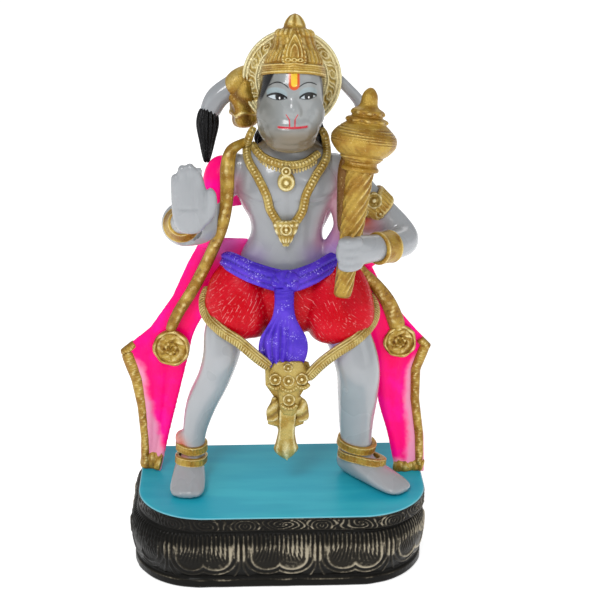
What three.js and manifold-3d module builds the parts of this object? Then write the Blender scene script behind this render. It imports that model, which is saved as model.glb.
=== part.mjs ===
// A painted cast-resin monkey-god figure with a mace, a shawl and a halo, on its lotus plinth.
// Millimetres, +Z up, -Y to the front, origin at the middle of the plinth's underside.
import * as THREE from "three";
import { mergeVertices } from "three/addons/utils/BufferGeometryUtils.js";
import Module from "manifold-3d";

const wasm = await Module();
wasm.setup();

// Driving dimensions
const figureHeight = 258; // from the soles to the crown's tip
const plinthHeight = 42;
const plinthWidth = 164; // over the petals
const plinthDepth = 96;
const frontCornerRadius = 40;
const backCornerRadius = 14;
const deckInset = 2.4; // how far the deck's edge stands inside the petals
const friezeHeight = 8.6;
const grooveInset = 3.8; // of the line between the petals and the frieze
const footHeight = 5.4;
const footInset = 1.8;
const petalCount = 12;
const petalRelief = 1.7;
const bandShift = -2.3; // the cast petals stand off to the figure's right under the deck
const seatGap = 0.3; // between the soles and the deck
const figureShift = 2.1; // the figure stands off the plinth's middle, to its left
const shawlThickness = 3.2;
const haloRadius = 26.2;
const haloThickness = 2.6;
const maceBulbRadius = 17.2;

// The figure's pose is laid out in 258ths of its height, so a share is a millimetre at this size.
const SHARES = 258;
const share = figureHeight / SHARES;

const vec = (x, y, z) => new THREE.Vector3(x, y, z);
const FRONT = vec(0, -1, 0);
const UP = vec(0, 0, 1);
const { lerp } = THREE.MathUtils;

/** A closed geometry as a solid that can be joined and cut. */
function solidOf(geometry) {
  const bare = geometry.clone();
  bare.deleteAttribute("normal");
  bare.deleteAttribute("uv");
  const merged = mergeVertices(bare, 1e-4);
  return new wasm.Manifold(
    new wasm.Mesh({
      numProp: 3,
      vertProperties: new Float32Array(merged.attributes.position.array),
      triVerts: new Uint32Array(merged.index.array),
    }),
  );
}

/** The joined solids as one geometry, with what reaches below z = 0 cut off. */
function fuse(geometries) {
  const below = new THREE.BoxGeometry(4 * SHARES, 4 * SHARES, SHARES).translate(0, 0, -SHARES / 2);
  const solid = geometries.map(solidOf).reduce((whole, piece) => whole.add(piece));
  const { vertProperties, triVerts } = solid.subtract(solidOf(below)).getMesh();
  const geometry = new THREE.BufferGeometry();
  geometry.setAttribute("position", new THREE.BufferAttribute(vertProperties, 3));
  geometry.setIndex(new THREE.BufferAttribute(triVerts, 1));
  return geometry;
}

/** Moves every vertex of a geometry to place(u, v, position), with its uv as u and v. */
function reshape(geometry, place) {
  const { position, uv } = geometry.attributes;
  const from = vec(0, 0, 0);
  for (let i = 0; i < position.count; i++) {
    from.fromBufferAttribute(position, i);
    const to = place(uv.getX(i), uv.getY(i), from);
    position.setXYZ(i, to.x, to.y, to.z);
  }
  return geometry;
}

/** Stands a geometry that was made along +Y at foot, along axis, with its +Z side to front. */
function stand(geometry, foot, axis, front = FRONT) {
  const y = axis.clone().normalize();
  const z = front.clone().addScaledVector(y, -front.dot(y)).normalize();
  const x = y.clone().cross(z);
  return geometry.applyMatrix4(new THREE.Matrix4().makeBasis(x, y, z).setPosition(foot));
}

/** A smooth curve through points, read at t from 0 to 1. */
const smooth = (points) => new THREE.CatmullRomCurve3(points, false, "catmullrom", 0.5);

/**
 * A limb: oval rings along a smooth path, rounded off at both ends.
 * Each station is [x, y, z, half-width, half-depth]; the depth points to front.
 */
function limb(stations, { sides = 8, rings = 6, front = FRONT, blunt = 5 } = {}) {
  const path = smooth(stations.map(([x, y, z]) => vec(x, y, z)));
  const sizes = smooth(stations.map(([, , , width, depth]) => vec(width, depth ?? width, 0)));
  const sphere = new THREE.SphereGeometry(1, sides, rings);
  return reshape(sphere, (_u, v, from) => {
    const t = THREE.MathUtils.clamp(1 - v, 0, 1);
    const tangent = path.getTangent(t);
    const depthWay = front.clone().addScaledVector(tangent, -front.dot(tangent)).normalize();
    const sideWay = depthWay.clone().cross(tangent);
    const size = sizes.getPoint(t);
    const around = vec(from.x, 0, from.z);
    const open = around.length() < 1e-6 ? 0 : (1 - Math.abs(2 * t - 1) ** blunt) ** (1 / blunt);
    around.normalize().multiplyScalar(open);
    return path
      .getPoint(t)
      .addScaledVector(sideWay, around.x * size.x)
      .addScaledVector(depthWay, around.z * size.y);
  });
}

/** A cord of one thickness along points; flat makes it wider than it is deep. */
const cord = (points, halfWidth, halfDepth, rings, front = vec(0, -1, 0.2)) =>
  limb(
    points.map((point) => [...point, halfWidth, halfDepth]),
    { sides: 4, rings, front, blunt: 9 },
  );

/** An egg at a centre with its three half-axes. */
const egg = (centre, halfAxes, sides = 6, rings = 4) =>
  new THREE.SphereGeometry(1, sides, rings).scale(...halfAxes).translate(...centre);

/**
 * A turned solid on an axis from its foot. The profile holds [radius, height, sink], and sink
 * is the share of the radius that every second side loses, which makes lobes; twist turns
 * them along the height, in radians a millimetre.
 */
function turned(profile, foot, axis, sides = 14, { front = FRONT, twist = 0 } = {}) {
  const outline = profile.map(([radius, height]) => new THREE.Vector2(radius, height));
  const lathe = new THREE.LatheGeometry(outline, sides);
  reshape(lathe, (u, v, from) => {
    const [, height, sink = 0] = profile[Math.round(v * (profile.length - 1))];
    const scale = 1 - sink * (Math.round(u * sides) % 2);
    return vec(from.x * scale, from.y, from.z * scale).applyAxisAngle(vec(0, 1, 0), twist * height);
  });
  return stand(lathe, foot, axis, front);
}

/** A bracelet or anklet: a ring with a ridged outside, turned about axis and made oval. */
function ring(centre, axis, halfWidth, halfDepth, height, sides = 10) {
  const section = [
    [0.6, 0],
    [0.97, -0.5],
    [1.1, 0],
    [0.97, 0.5],
    [0.6, 0],
  ].map(([radius, level]) => new THREE.Vector2(radius, level));
  const hoop = new THREE.LatheGeometry(section, sides).scale(halfWidth, height, halfDepth);
  return stand(hoop, centre, axis);
}

/** A thin sheet: at(u, v) gives its middle surface, and thickness is laid half on each side. */
function sheet(at, thickness, across, along) {
  const step = 1e-3;
  const box = new THREE.BoxGeometry(1, 1, 1, across, along, 1);
  return reshape(box, (_u, _v, from) => {
    const u = from.x + 0.5;
    const v = from.y + 0.5;
    const [u0, v0] = [Math.min(u, 1 - step), Math.min(v, 1 - step)];
    const alongU = at(u0 + step, v0).sub(at(u0, v0));
    const alongV = at(u0, v0 + step).sub(at(u0, v0));
    const normal = alongU.cross(alongV).normalize();
    return at(u, v).addScaledVector(normal, from.z * thickness);
  });
}

// The trunk from the seat to the neck.
const TRUNK = [
  [1, 5, 82, 14, 9],
  [0, 5, 103, 24, 14],
  [-1, 6, 122, 23, 13.6],
  [1, 7, 140, 20, 12.5],
  [2, 7, 153, 22.5, 13.8],
  [3, 7, 168, 25.5, 15.6],
  [3, 8, 178, 26, 14.4],
  [3.5, 9, 187, 20, 11],
  [4, 9, 195, 13, 10],
  [4, 8, 203, 12, 10],
];

/** The body: hips, waist, chest and neck. */
const torso = () => [limb(TRUNK, { sides: 12, rings: 11 })];

/** A point [x, z] of a jewel laid on the trunk's front. */
function onChest([x, z]) {
  const above = TRUNK.findIndex((station) => station[2] > z);
  const [low, high] = [TRUNK[above - 1], TRUNK[above]];
  const t = (z - low[2]) / (high[2] - low[2]);
  const [middle, depthMiddle, , width, depth] = low.map((value, k) => lerp(value, high[k], t));
  const sideways = Math.min(Math.abs(x - middle) / width, 0.95);
  const lift = 0.9;
  return [x, depthMiddle - lift - depth * Math.sqrt(1 - sideways ** 2), z];
}

/** The raised right arm with its open palm and bracelet. */
function blessingArm() {
  const arm = limb(
    [
      [-22, 9, 180, 8],
      [-31, 8, 170, 8],
      [-36, 6, 159, 7.6],
      [-43, 3, 148, 8.6],
      [-53, -3, 147.5, 9.8],
      [-53.5, -11, 152, 8.6],
      [-50.5, -19, 157, 7.4],
    ],
    { rings: 9, front: vec(0, -0.4, 1) },
  );
  const palm = limb(
    [
      [-49, -21, 152, 7.6, 5.2],
      [-48.5, -22.5, 160, 9, 5],
      [-48.8, -23, 170, 9.4, 4.2],
      [-49.4, -23.4, 179, 8.6, 3.2],
      [-49.4, -24, 186, 6.6, 2.2],
    ],
    { rings: 6 },
  );
  const fingertips = [
    [-43.2, 187.6],
    [-47.4, 189.4],
    [-51.8, 187.8],
    [-55.4, 183],
  ];
  const fingers = fingertips.map(([x, top]) =>
    limb(
      [
        [x, -23.4, top - 12, 2.2, 2.8],
        [x, -24.4, top, 2.2, 2.4],
      ],
      { sides: 5, rings: 3 },
    ),
  );
  const thumb = limb(
    [
      [-43, -21, 157, 4],
      [-38.6, -23.5, 164, 3.5],
      [-37.4, -25, 171, 2.9],
      [-38, -26, 176.6, 2.2],
    ],
    { sides: 6, rings: 5 },
  );
  const bracelet = ring(vec(-52, -14.5, 153.4), vec(0.25, -0.85, 0.5), 10.4, 9.4, 6.5);
  return [arm, palm, ...fingers, thumb, bracelet];
}

const MACE_FOOT = vec(29.2, -26, 117.2);
const MACE_TIP = vec(44.2, -8, 223.5);

/** The left arm, bent to hold the mace against the shoulder. */
function maceArm() {
  const arm = limb(
    [
      [22, 9, 182, 8],
      [33, 10, 173.5, 8.4],
      [43.6, 11.5, 161.4, 8],
      [52, 12, 152.4, 8],
      [61, 9, 143, 8.4],
      [63.6, 2, 138.6, 8.2],
      [57, -9, 139.6, 8],
      [46, -18.4, 141.4, 7.6],
      [37, -24, 142.2, 8.6],
      [29, -25.4, 142, 8.2],
    ],
    { rings: 12, front: vec(0.3, -0.2, 1) },
  );
  const fingers = [149.2, 144.6, 140, 135.6].map((z, i) =>
    limb(
      [
        [39, -28.5, z, 2.6],
        [32.5 - i * 0.4, -32.4, z - 0.4, 2.6],
        [27 - i * 0.4, -28.5, z - 0.6, 2.2],
      ],
      { sides: 5, rings: 3, front: UP },
    ),
  );
  const armlet = ring(vec(47.6, 11.6, 157.2), vec(0.68, 0.05, -0.73), 8.6, 8.6, 13);
  const bracelet = ring(vec(55, -11, 139.4), vec(0.68, 0.72, -0.12), 8.6, 8.8, 8);
  return [arm, ...fingers, armlet, bracelet];
}

/** The mace: a ribbed bulb with a stepped finial on a spirally fluted handle. */
function mace() {
  const axis = MACE_TIP.clone().sub(MACE_FOOT);
  const length = axis.length();
  const bulb = maceBulbRadius;
  const level = 0.755 * length; // of the bulb's widest ring
  const head = [
    [0, level - 17],
    [0.53 * bulb, level - 14.6],
    [0.5 * bulb, level - 10.6],
    [0.78 * bulb, level - 6.4],
    [0.97 * bulb, level - 2],
    [0.97 * bulb, level + 2],
    [0.6 * bulb, level + 8.2],
    [0.62 * bulb, level + 10],
    [0.47 * bulb, level + 12],
    [0.49 * bulb, level + 14.6],
    [0.32 * bulb, level + 17],
    [0.34 * bulb, level + 20],
    [0, length],
  ];
  const flute = 0.24;
  const handleTop = level - 13;
  const handle = [
    [0, 0],
    ...[0, 0.17, 0.34, 0.5, 0.67, 0.84, 1].map((t) => [lerp(5.8, 7.9, t), t * handleTop, flute]),
    [0, handleTop + 1],
  ];
  return [
    turned(head, MACE_FOOT, axis, 13),
    turned(handle, MACE_FOOT, axis, 10, { twist: 0.06 }),
  ];
}

/** The head: a broad monkey face with a full muzzle and a flat nose, and the hair behind. */
function head() {
  const skull = limb(
    [
      [4, -2, 191.4, 8, 8],
      [4.1, -0.5, 197, 14.4, 14.2],
      [4.2, 1.5, 204, 16.2, 16.6],
      [4.3, 3, 212, 17, 16.6],
      [4.4, 4, 221, 16.6, 16],
      [4.7, 5, 229, 14, 13.6],
      [5, 6, 236, 9, 9],
    ],
    { sides: 14, rings: 9, blunt: 4 },
  );
  const muzzle = egg([4.3, -6.8, 203], [13.4, 11, 10.6], 10, 6);
  const nose = egg([4.6, -15, 212.4], [3.8, 3.4, 4.6]);
  const hair = limb(
    [
      [4.6, 12, 226, 13, 9],
      [4.4, 16, 212, 16, 9],
      [4, 18, 199, 20, 8],
      [3, 17, 187, 24, 7],
    ],
    { rings: 5 },
  );
  return [skull, muzzle, nose, hair];
}

const CROWN_FOOT = vec(5.1, 6.3, 226.2);
const CROWN_TIP = vec(6.2, 11.8, 258);

/** The crown: a band, a lobed cone with a leaf plaque in front, a frilled rim and a bud. */
function crown() {
  const axis = CROWN_TIP.clone().sub(CROWN_FOOT);
  const length = axis.length();
  const profile = [
    [0, -0.02],
    [0.53, 0],
    [0.53, 0.15],
    [0.49, 0.2, 0.08],
    [0.46, 0.34, 0.1],
    [0.37, 0.52, 0.12],
    [0.31, 0.6, 0.06],
    [0.34, 0.67, 0.12],
    [0.15, 0.755],
    [0.165, 0.86],
    [0, 1],
  ].map(([radius, height, sink]) => [radius * length, height * length, sink]);
  const plaque = limb(
    [
      [5, -9.6, 231.5, 8, 2.4],
      [5.2, -6.8, 238, 5.2, 2.4],
      [5.6, -1.8, 246, 1.6, 2],
    ],
    { sides: 6, rings: 4, blunt: 8 },
  );
  return [turned(profile, CROWN_FOOT, axis, 20), plaque];
}

/** The halo: a thin disc with a rolled rim and a raised inner ring. */
function halo() {
  const half = haloThickness / 2;
  const profile = [
    [0, -half],
    [haloRadius, -half],
    [haloRadius, half + 0.4],
    [0.78 * haloRadius, half],
    [0.72 * haloRadius, half + 0.9],
    [0, half],
  ];
  return [turned(profile, vec(4.8, 22.2, 222), vec(0, -1, 0.1), 22, { front: UP })];
}

/** The tail: up the back, over behind the halo and down to its tuft, with the bell tied on. */
function tail() {
  const rope = limb(
    [
      [0, 17, 110, 5.4],
      [14, 24, 134, 5],
      [30, 27, 165, 4.2],
      [41, 28.5, 190, 3.4],
      [42, 28.5, 206, 2.8],
      [35.6, 28, 216, 2.6],
      [22, 28, 226, 2.8],
      [0, 28, 230, 3.6],
      [-18, 27.6, 224, 4.6],
      [-27, 27, 217.6, 5],
      [-35, 26, 211.8, 5.3],
      [-38.4, 25, 204.8, 5.4],
      [-40, 24, 199, 5.4],
    ],
    { sides: 6, rings: 15, front: vec(0, -1, 0.3) },
  );
  const tuft = limb(
    [
      [-39.4, 24.4, 206, 5],
      [-40, 22.6, 198, 5.8],
      [-40.3, 19, 189, 3.8],
      [-40.6, 13.5, 180, 1.5],
    ],
    { sides: 6, rings: 6, blunt: 8 },
  );
  const wrap = limb(
    [
      [-18.5, 27.4, 222, 6.6],
      [-25, 27, 216.6, 7.8],
      [-31, 26.6, 212.8, 6.2],
    ],
    { sides: 6, rings: 4, blunt: 8 },
  );
  const bell = [
    [0, 0],
    [6.6, 1],
    [8.6, 6],
    [6.6, 13],
    [0, 18],
  ];
  return [rope, tuft, wrap, turned(bell, vec(-22.4, 26, 195.8), UP, 10)];
}

/** The two legs with their feet and anklets. */
function legs() {
  const right = limb(
    [
      [-19, 6, 110, 14, 14],
      [-31, 0, 92, 12, 12.5],
      [-34.8, -3.5, 76, 9.8, 10.4],
      [-38.5, -1, 62, 9.4, 9.6],
      [-45.5, 3.5, 44, 9.4, 9.4],
      [-50.5, 4.5, 27, 6.6, 7],
      [-51.4, 5, 8, 6.8, 8],
    ],
    { sides: 9, rings: 8 },
  );
  const left = limb(
    [
      [24, 6, 108, 15, 14],
      [33, -3, 90, 12.4, 13],
      [40, -7, 71, 11.2, 11.4],
      [41, -2, 52, 10.2, 10.6],
      [40.4, 3, 35, 9.2, 9.6],
      [39.6, 4.5, 21, 7.2, 7.6],
      [40, 4.5, 8, 7.4, 8],
    ],
    { sides: 9, rings: 8 },
  );
  const anklets = [
    ring(vec(-51.7, 4.6, 18.6), vec(0.05, 0, 1), 7.2, 7.8, 5, 8),
    ring(vec(-52.8, 2, 9.8), vec(0.02, -0.2, 1), 7.8, 8.8, 4.6, 8),
    ring(vec(39.6, 4.2, 18), vec(0.22, -0.1, 1), 7.8, 8.2, 5, 8),
    ring(vec(42.4, 0.6, 9.4), vec(0.36, -0.34, 1), 10, 10.4, 4.4, 8),
  ];
  const feet = [
    foot(vec(-52, 11, 0), vec(-54.4, -21.6, 0), 9.2),
    foot(vec(36.5, 10, 0), vec(65.8, -19.8, 0), 8.4),
  ];
  return [right, left, ...anklets, ...feet];
}

/** A foot from heel to toes, flat below. */
function foot(heel, toe, ballHalfWidth) {
  const along = toe.clone().sub(heel);
  const sunk = 0.8; // of the sole, which the flat underside cuts off
  const station = (t, halfWidth, halfHeight) => {
    const point = heel.clone().addScaledVector(along, t);
    return [point.x, point.y, halfHeight - sunk, halfWidth, halfHeight];
  };
  return limb(
    [
      station(-0.04, 6, 6.2),
      station(0.25, 6.8, 7),
      station(0.55, 0.9 * ballHalfWidth, 5.2),
      station(0.82, ballHalfWidth, 3.8),
      station(1.02, 0.9 * ballHalfWidth, 2.6),
    ],
    { rings: 6, front: UP, blunt: 7 },
  );
}

/** The short dhoti: a full trunk of cloth round each thigh. */
function dhoti() {
  const right = limb(
    [
      [-9, 7, 130, 13, 11],
      [-17.5, 6, 120, 18.8, 14.5],
      [-22, 4, 110, 20, 16.4],
      [-24.2, 1, 99, 18.6, 16.6],
      [-24.6, -1, 87, 15.8, 14],
    ],
    { sides: 10, rings: 6, blunt: 4 },
  );
  const left = limb(
    [
      [12, 7, 130, 13, 11],
      [20, 6, 120, 18.6, 15],
      [26.4, 3, 108, 20.6, 16.6],
      [29, -1, 96, 19.4, 16.6],
      [26.4, -3, 84, 15.8, 14],
    ],
    { sides: 10, rings: 6, blunt: 4 },
  );
  return [right, left];
}

/** The dhoti's hem: a flat braid over each thigh that hangs on to the ornament between the legs. */
function hems() {
  const right = [
    [-41, 12, 109.5],
    [-43, 3, 105.5],
    [-41.4, -5, 100],
    [-34, -14, 95],
    [-24.7, -18.2, 90],
    [-16.5, -18.6, 82.4],
    [-8.9, -16, 74.7],
  ];
  const left = [
    [46, 13, 104.5],
    [48.6, 5, 100],
    [46.8, -4, 95],
    [38.6, -14.6, 90],
    [26.6, -19, 83.4],
    [18.6, -18.4, 76.6],
    [11.5, -16, 67.6],
  ];
  return [right, left].map((path) => cord(path, 2.9, 2.2, 8, vec(0, -1, 0.15)));
}

/** The sash: a cloth belt, its knot and the pleated end that fans out below. */
function sash() {
  const belt = limb(
    [
      [-32, 10, 129, 4.6, 3],
      [-27.6, -1.4, 129, 4.8, 3.2],
      [-16, -9.8, 126.4, 4.8, 3.2],
      [0.5, -12.6, 122.6, 5, 3.6],
      [14, -10.6, 125.4, 4.8, 3.2],
      [25, -2.4, 129, 4.8, 3.2],
      [30, 10, 131, 4.6, 3],
    ],
    { sides: 6, rings: 8, front: vec(0, -1, 0.2), blunt: 9 },
  );
  const pleats = 5;
  const fan = (u, v) => {
    const halfWidth = lerp(4.6, 12.8, Math.sin(v * Math.PI * 0.42) ** 1.6);
    const fold = Math.cos(u * pleats * 2 * Math.PI) * v;
    const x = lerp(-0.4, -1.4, v) - (2 * u - 1) * halfWidth;
    return vec(x, -17.4 + 1.4 * v + fold, lerp(119.5, 77.5, v) + 3.4 * v * (2 * u - 1) ** 2);
  };
  return [belt, egg([0.4, -15.4, 122.2], [6, 3.6, 5.2]), sheet(fan, 4.4, 2 * pleats, 3)];
}

/** A five-lobed flower with a bead on it, facing front. */
function rosette([x, z], y, radius, depth = 2.4) {
  const profile = [
    [0, 0],
    [radius, 0.3 * depth, 0.24],
    [0.5 * radius, depth],
    [0, 1.4 * depth],
  ];
  return turned(profile, vec(x, y, z), vec(0, -1, 0.12), 10, { front: UP });
}

/** The ornament that hangs between the legs: flowers on a lobed plate, and a cloth end. */
function apronOrnament() {
  // The plate's outline as [x, z], down its right edge and up its left.
  const outline = [
    [-8.6, 76.5],
    [1.4, 78.5],
    [12.6, 75.5],
    [14.2, 70],
    [12.2, 63.5],
    [7.2, 54.5],
    [10.8, 45.5],
    [9.8, 39.5],
    [4.6, 37.5],
    [3.4, 30],
    [-2, 30],
    [-4.8, 38],
    [-9.8, 39.6],
    [-9.4, 45],
    [-6.2, 55.5],
    [-10.8, 62.5],
    [-11, 71.5],
  ];
  const depth = 3.6;
  const shape = new THREE.Shape(outline.map(([x, z]) => new THREE.Vector2(x, z)));
  const plate = new THREE.ExtrudeGeometry(shape, { depth, bevelEnabled: false });
  plate.rotateX(Math.PI / 2).translate(0, -10.8, 0);
  const boss = limb(
    [
      [1.6, -15.4, 77, 9, 2.8],
      [1.7, -15.8, 68, 11.8, 3.4],
      [1.8, -15.4, 60, 6.6, 3.4],
      [1.8, -14.8, 52, 5.8, 3],
      [1.6, -14.2, 46, 4.4, 2.4],
    ],
    { rings: 6, blunt: 7 },
  );
  const cloth = limb(
    [
      [1.5, -13.6, 50, 5.6, 2.2],
      [1.2, -13.2, 40, 4.6, 2.4],
      [1, -13, 31, 4, 2.4],
      [0.8, -12.8, 24, 5.8, 2.6],
      [0.5, -12.4, 17.6, 1.6, 1.4],
    ],
    { sides: 6, rings: 7, blunt: 8 },
  );
  const flowers = [
    rosette([-5.6, 67.8], -17.4, 3.5),
    rosette([1.7, 67.4], -18.2, 3.5),
    rosette([9, 67.6], -17.4, 3.5),
    rosette([1.8, 57], -17.6, 3.2),
  ];
  return [plate, boss, cloth, ...flowers];
}

/** Rows of [z, inner x, outer x, inner y, outer y] as a surface with one soft fold in it. */
function wingSurface(rows, foldDepth) {
  const inner = smooth(rows.map(([z, x, , y]) => vec(x, y, z)));
  const outer = smooth(rows.map(([z, , x, , y]) => vec(x, y, z)));
  return (u, v) => {
    const point = inner.getPoint(v).lerp(outer.getPoint(v), u);
    point.y += Math.sin(u * 2 * Math.PI) * foldDepth * Math.min(1, 2 * v);
    return point;
  };
}

/** The shawl: over both shoulders, across the back, and down each side as a flared wing. */
function shawl() {
  const rightSleeve = limb(
    [
      [-24, 10, 183, 6, 7],
      [-32.6, 9.5, 175.6, 8.6, 9],
      [-36.4, 8, 162, 7.6, 9.4],
      [-39, 8.5, 148, 7.4, 8.6],
      [-42, 10, 134, 7.4, 5],
    ],
    { rings: 6 },
  );
  const leftSleeve = limb(
    [
      [26, 11, 183, 6, 7],
      [33, 13, 172, 8, 7.4],
      [36.4, 14, 154, 10.4, 6],
      [42, 14, 136, 10, 4.6],
      [46, 14, 120, 7, 3],
    ],
    { rings: 6 },
  );
  const rightWing = wingSurface(
    [
      [139, -18, -44, 9, 12],
      [123, -25, -52.4, 12, 15],
      [103, -38, -61.2, 14, 18],
      [84, -49, -74, 16, 21],
      [69, -53, -91.5, 17, 24],
      [53, -57, -86, 19, 25],
      [36, -61.4, -83, 21, 26],
      [17, -66.4, -81.6, 23, 27],
      [-1.5, -71.4, -82, 24, 28],
    ],
    1.6,
  );
  const leftWing = wingSurface(
    [
      [137.5, 18, 43, 9, 13],
      [124, 25, 46.5, 12, 14],
      [110, 38, 53, 14, 15],
      [96, 44, 62, 14, 16],
      [82, 46.6, 73.4, 15, 18],
      [72, 49, 82.4, 16, 20],
      [58, 50.8, 76.8, 16, 19],
      [40, 53, 76.4, 16, 17],
      [20, 58.6, 78.8, 14, 13],
      [-1.5, 63, 79, 11, 8],
    ],
    -1.4,
  );
  const cape = (u, v) => {
    const x = lerp(-38, 42, u);
    const bow = 1 - (2 * u - 1) ** 2;
    const top = lerp(174, 193, bow);
    const bottom = lerp(156, 150.5, u);
    return vec(x, 13 + 8 * bow, lerp(bottom, top, v));
  };
  return [
    rightSleeve,
    leftSleeve,
    sheet(rightWing, shawlThickness, 3, 9),
    sheet((u, v) => leftWing(1 - u, v), shawlThickness, 3, 9),
    sheet(cape, 5, 6, 2),
  ];
}

/** The braid down each front edge of the shawl, and the roundel that ends it. */
function shawlBraids() {
  const rightBraid = [
    [-20, 6, 193],
    [-27, 0.5, 188.4],
    [-31.6, -2.4, 179],
    [-32.6, -2.6, 164],
    [-33.4, -1.6, 150],
    [-36.4, 3, 138],
    [-42.4, 8, 124],
    [-49.8, 11, 109],
    [-58, 13, 95],
    [-63, 14.4, 84],
  ];
  const leftBraid = [
    [37, 8, 127],
    [43, 9.5, 118.5],
    [50, 11.5, 110.5],
    [56.8, 13, 100.5],
    [61.2, 14, 90],
    [63, 14.8, 83],
  ];
  const roundel = ([x, z], radius, turnedOut) => {
    const profile = [
      [0, -2],
      [radius, -2],
      [radius, 2.2],
      [0.72 * radius, 1.2, 0.24],
      [0.3 * radius, 2.6],
      [0, 3],
    ];
    return turned(profile, vec(x, 16, z), vec(turnedOut, -1, 0.06), 14, { front: UP });
  };
  return [
    cord(rightBraid, 3.4, 2.6, 11, vec(0, -1, 0.1)),
    cord(leftBraid, 3.4, 2.6, 6, vec(0, -1, 0.1)),
    roundel([-61.9, 74], 9.8, -0.1),
    roundel([64.1, 76.3], 9, 0.1),
  ];
}

/** The necklace, the long garland, their two pendants and the two ear drops. */
function jewels() {
  const necklace = [
    [-15.5, 191],
    [-9, 186],
    [1.4, 183.6],
    [12, 185.4],
    [18.6, 190],
  ].map(onChest);
  const garland = [
    [-19, 193],
    [-18.8, 185],
    [-14, 176.6],
    [-10, 167.6],
    [-7.4, 158],
    [0.8, 152],
    [9.6, 158],
    [12, 168],
    [16.6, 177],
    [22.2, 184.6],
    [22.6, 192],
  ].map(onChest);
  const pendant = limb(
    [
      [1, -7, 155, 6.4, 2.4],
      [1, -7, 149.4, 4.4, 2.6],
      [0.9, -6.6, 141.4, 1.4, 1.6],
    ],
    { sides: 6, rings: 4, blunt: 9 },
  );
  return [
    cord(necklace, 2.3, 2.1, 7),
    cord(garland, 2.3, 2.1, 13),
    pendant,
    egg([1.3, -7.2, 175.6], [4, 2.6, 4.8]),
    egg([-16.8, 4, 195.4], [3.4, 3.4, 6]),
    egg([21.2, 5, 194.8], [3.2, 3.4, 5.2]),
  ];
}

/** The plinth's outline over the petals, from its front middle round to the figure's left. */
function plan() {
  const [x, y] = [plinthWidth / 2, plinthDepth / 2];
  const [front, back] = [frontCornerRadius, backCornerRadius];
  const quarter = Math.PI / 2;
  const path = new THREE.Path();
  path.moveTo(0, -y);
  path.lineTo(x - front, -y);
  path.absarc(x - front, front - y, front, -quarter, 0, false);
  path.lineTo(x, y - back);
  path.absarc(x - back, y - back, back, 0, quarter, false);
  path.lineTo(back - x, y);
  path.absarc(back - x, y - back, back, quarter, 2 * quarter, false);
  path.lineTo(-x, front - y);
  path.absarc(front - x, front - y, front, 2 * quarter, 3 * quarter, false);
  path.lineTo(0, -y);
  return path;
}

/** The lotus plinth: foot moulding, a ring of petals, a groove, and a frieze under the deck. */
function plinth() {
  const friezeFoot = plinthHeight - friezeHeight;
  const petalTop = friezeFoot - 1.4;
  const petals = (t) => lerp(footHeight, petalTop, t);
  // Each level is [height, inset, share of the petals' relief].
  const levels = [
    [0, footInset, 0],
    [footHeight - 1, footInset, 0],
    [footHeight, footInset + 1.4, 0],
    [petals(0.25), 1, 0.6],
    [petals(0.6), 0, 1],
    [petals(0.88), 1, 0.8],
    [petalTop, grooveInset, 0],
    [friezeFoot, grooveInset, 0],
    [friezeFoot + 0.8, deckInset, 0],
    [plinthHeight - 0.7, deckInset, 0],
    [plinthHeight, deckInset + 0.7, 0],
  ];
  const columnsPerPetal = 4;
  const columns = petalCount * columnsPerPetal;
  const outline = plan();
  const drum = new THREE.CylinderGeometry(1, 1, 1, columns, levels.length - 1);
  return reshape(drum, (_u, _v, from) => {
    const level = Math.round((from.y + 0.5) * (levels.length - 1));
    const [z, inset, share] = levels[level];
    const shift = level < levels.length - 4 ? bandShift : 0;
    if (Math.hypot(from.x, from.z) < 1e-6) return vec(shift, 0, z);
    const turn = (Math.atan2(from.x, from.z) / (2 * Math.PI) + 1) % 1;
    const column = Math.round(turn * columns) % columns;
    const between = (column + columnsPerPetal / 2) % columnsPerPetal === 0;
    const point = outline.getPointAt(column / columns);
    const tangent = outline.getTangentAt(column / columns);
    const depth = inset + (between ? share * petalRelief : 0);
    return vec(point.x - tangent.y * depth + shift, point.y + tangent.x * depth, z);
  });
}

const paint = (colour, roughness, metalness = 0) =>
  new THREE.MeshStandardMaterial({ color: colour, roughness, metalness });

const figure = new THREE.Mesh(
  fuse([
    ...torso(),
    ...blessingArm(),
    ...maceArm(),
    ...mace(),
    ...head(),
    ...crown(),
    ...halo(),
    ...tail(),
    ...legs(),
    ...dhoti(),
    ...hems(),
    ...sash(),
    ...apronOrnament(),
    ...shawl(),
    ...shawlBraids(),
    ...jewels(),
  ]),
  paint(0xc9ccd0, 0.25),
);
figure.name = "hanuman_figure";
figure.scale.setScalar(share);
figure.position.set(figureShift, 0, plinthHeight + seatGap);

const base = new THREE.Mesh(plinth(), paint(0x3b3833, 0.4, 0.3));
base.name = "lotus_plinth";

const statue = new THREE.Group();
statue.add(figure, base);

export default statue;
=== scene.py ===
# %% [markdown]
# # A painted resin idol on its lotus plinth
# The real object is one glossy white casting, a monkey god with a mace, on a dark plinth cast
# with lotus petals. Paint tells its cloth, gold and hair apart. This lesson dresses the packed
# solids with finer surfaces. Every surface is worked out with numpy as rings of points, so one
# short kit serves limbs, cords, turned parts and sheets alike.

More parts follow.
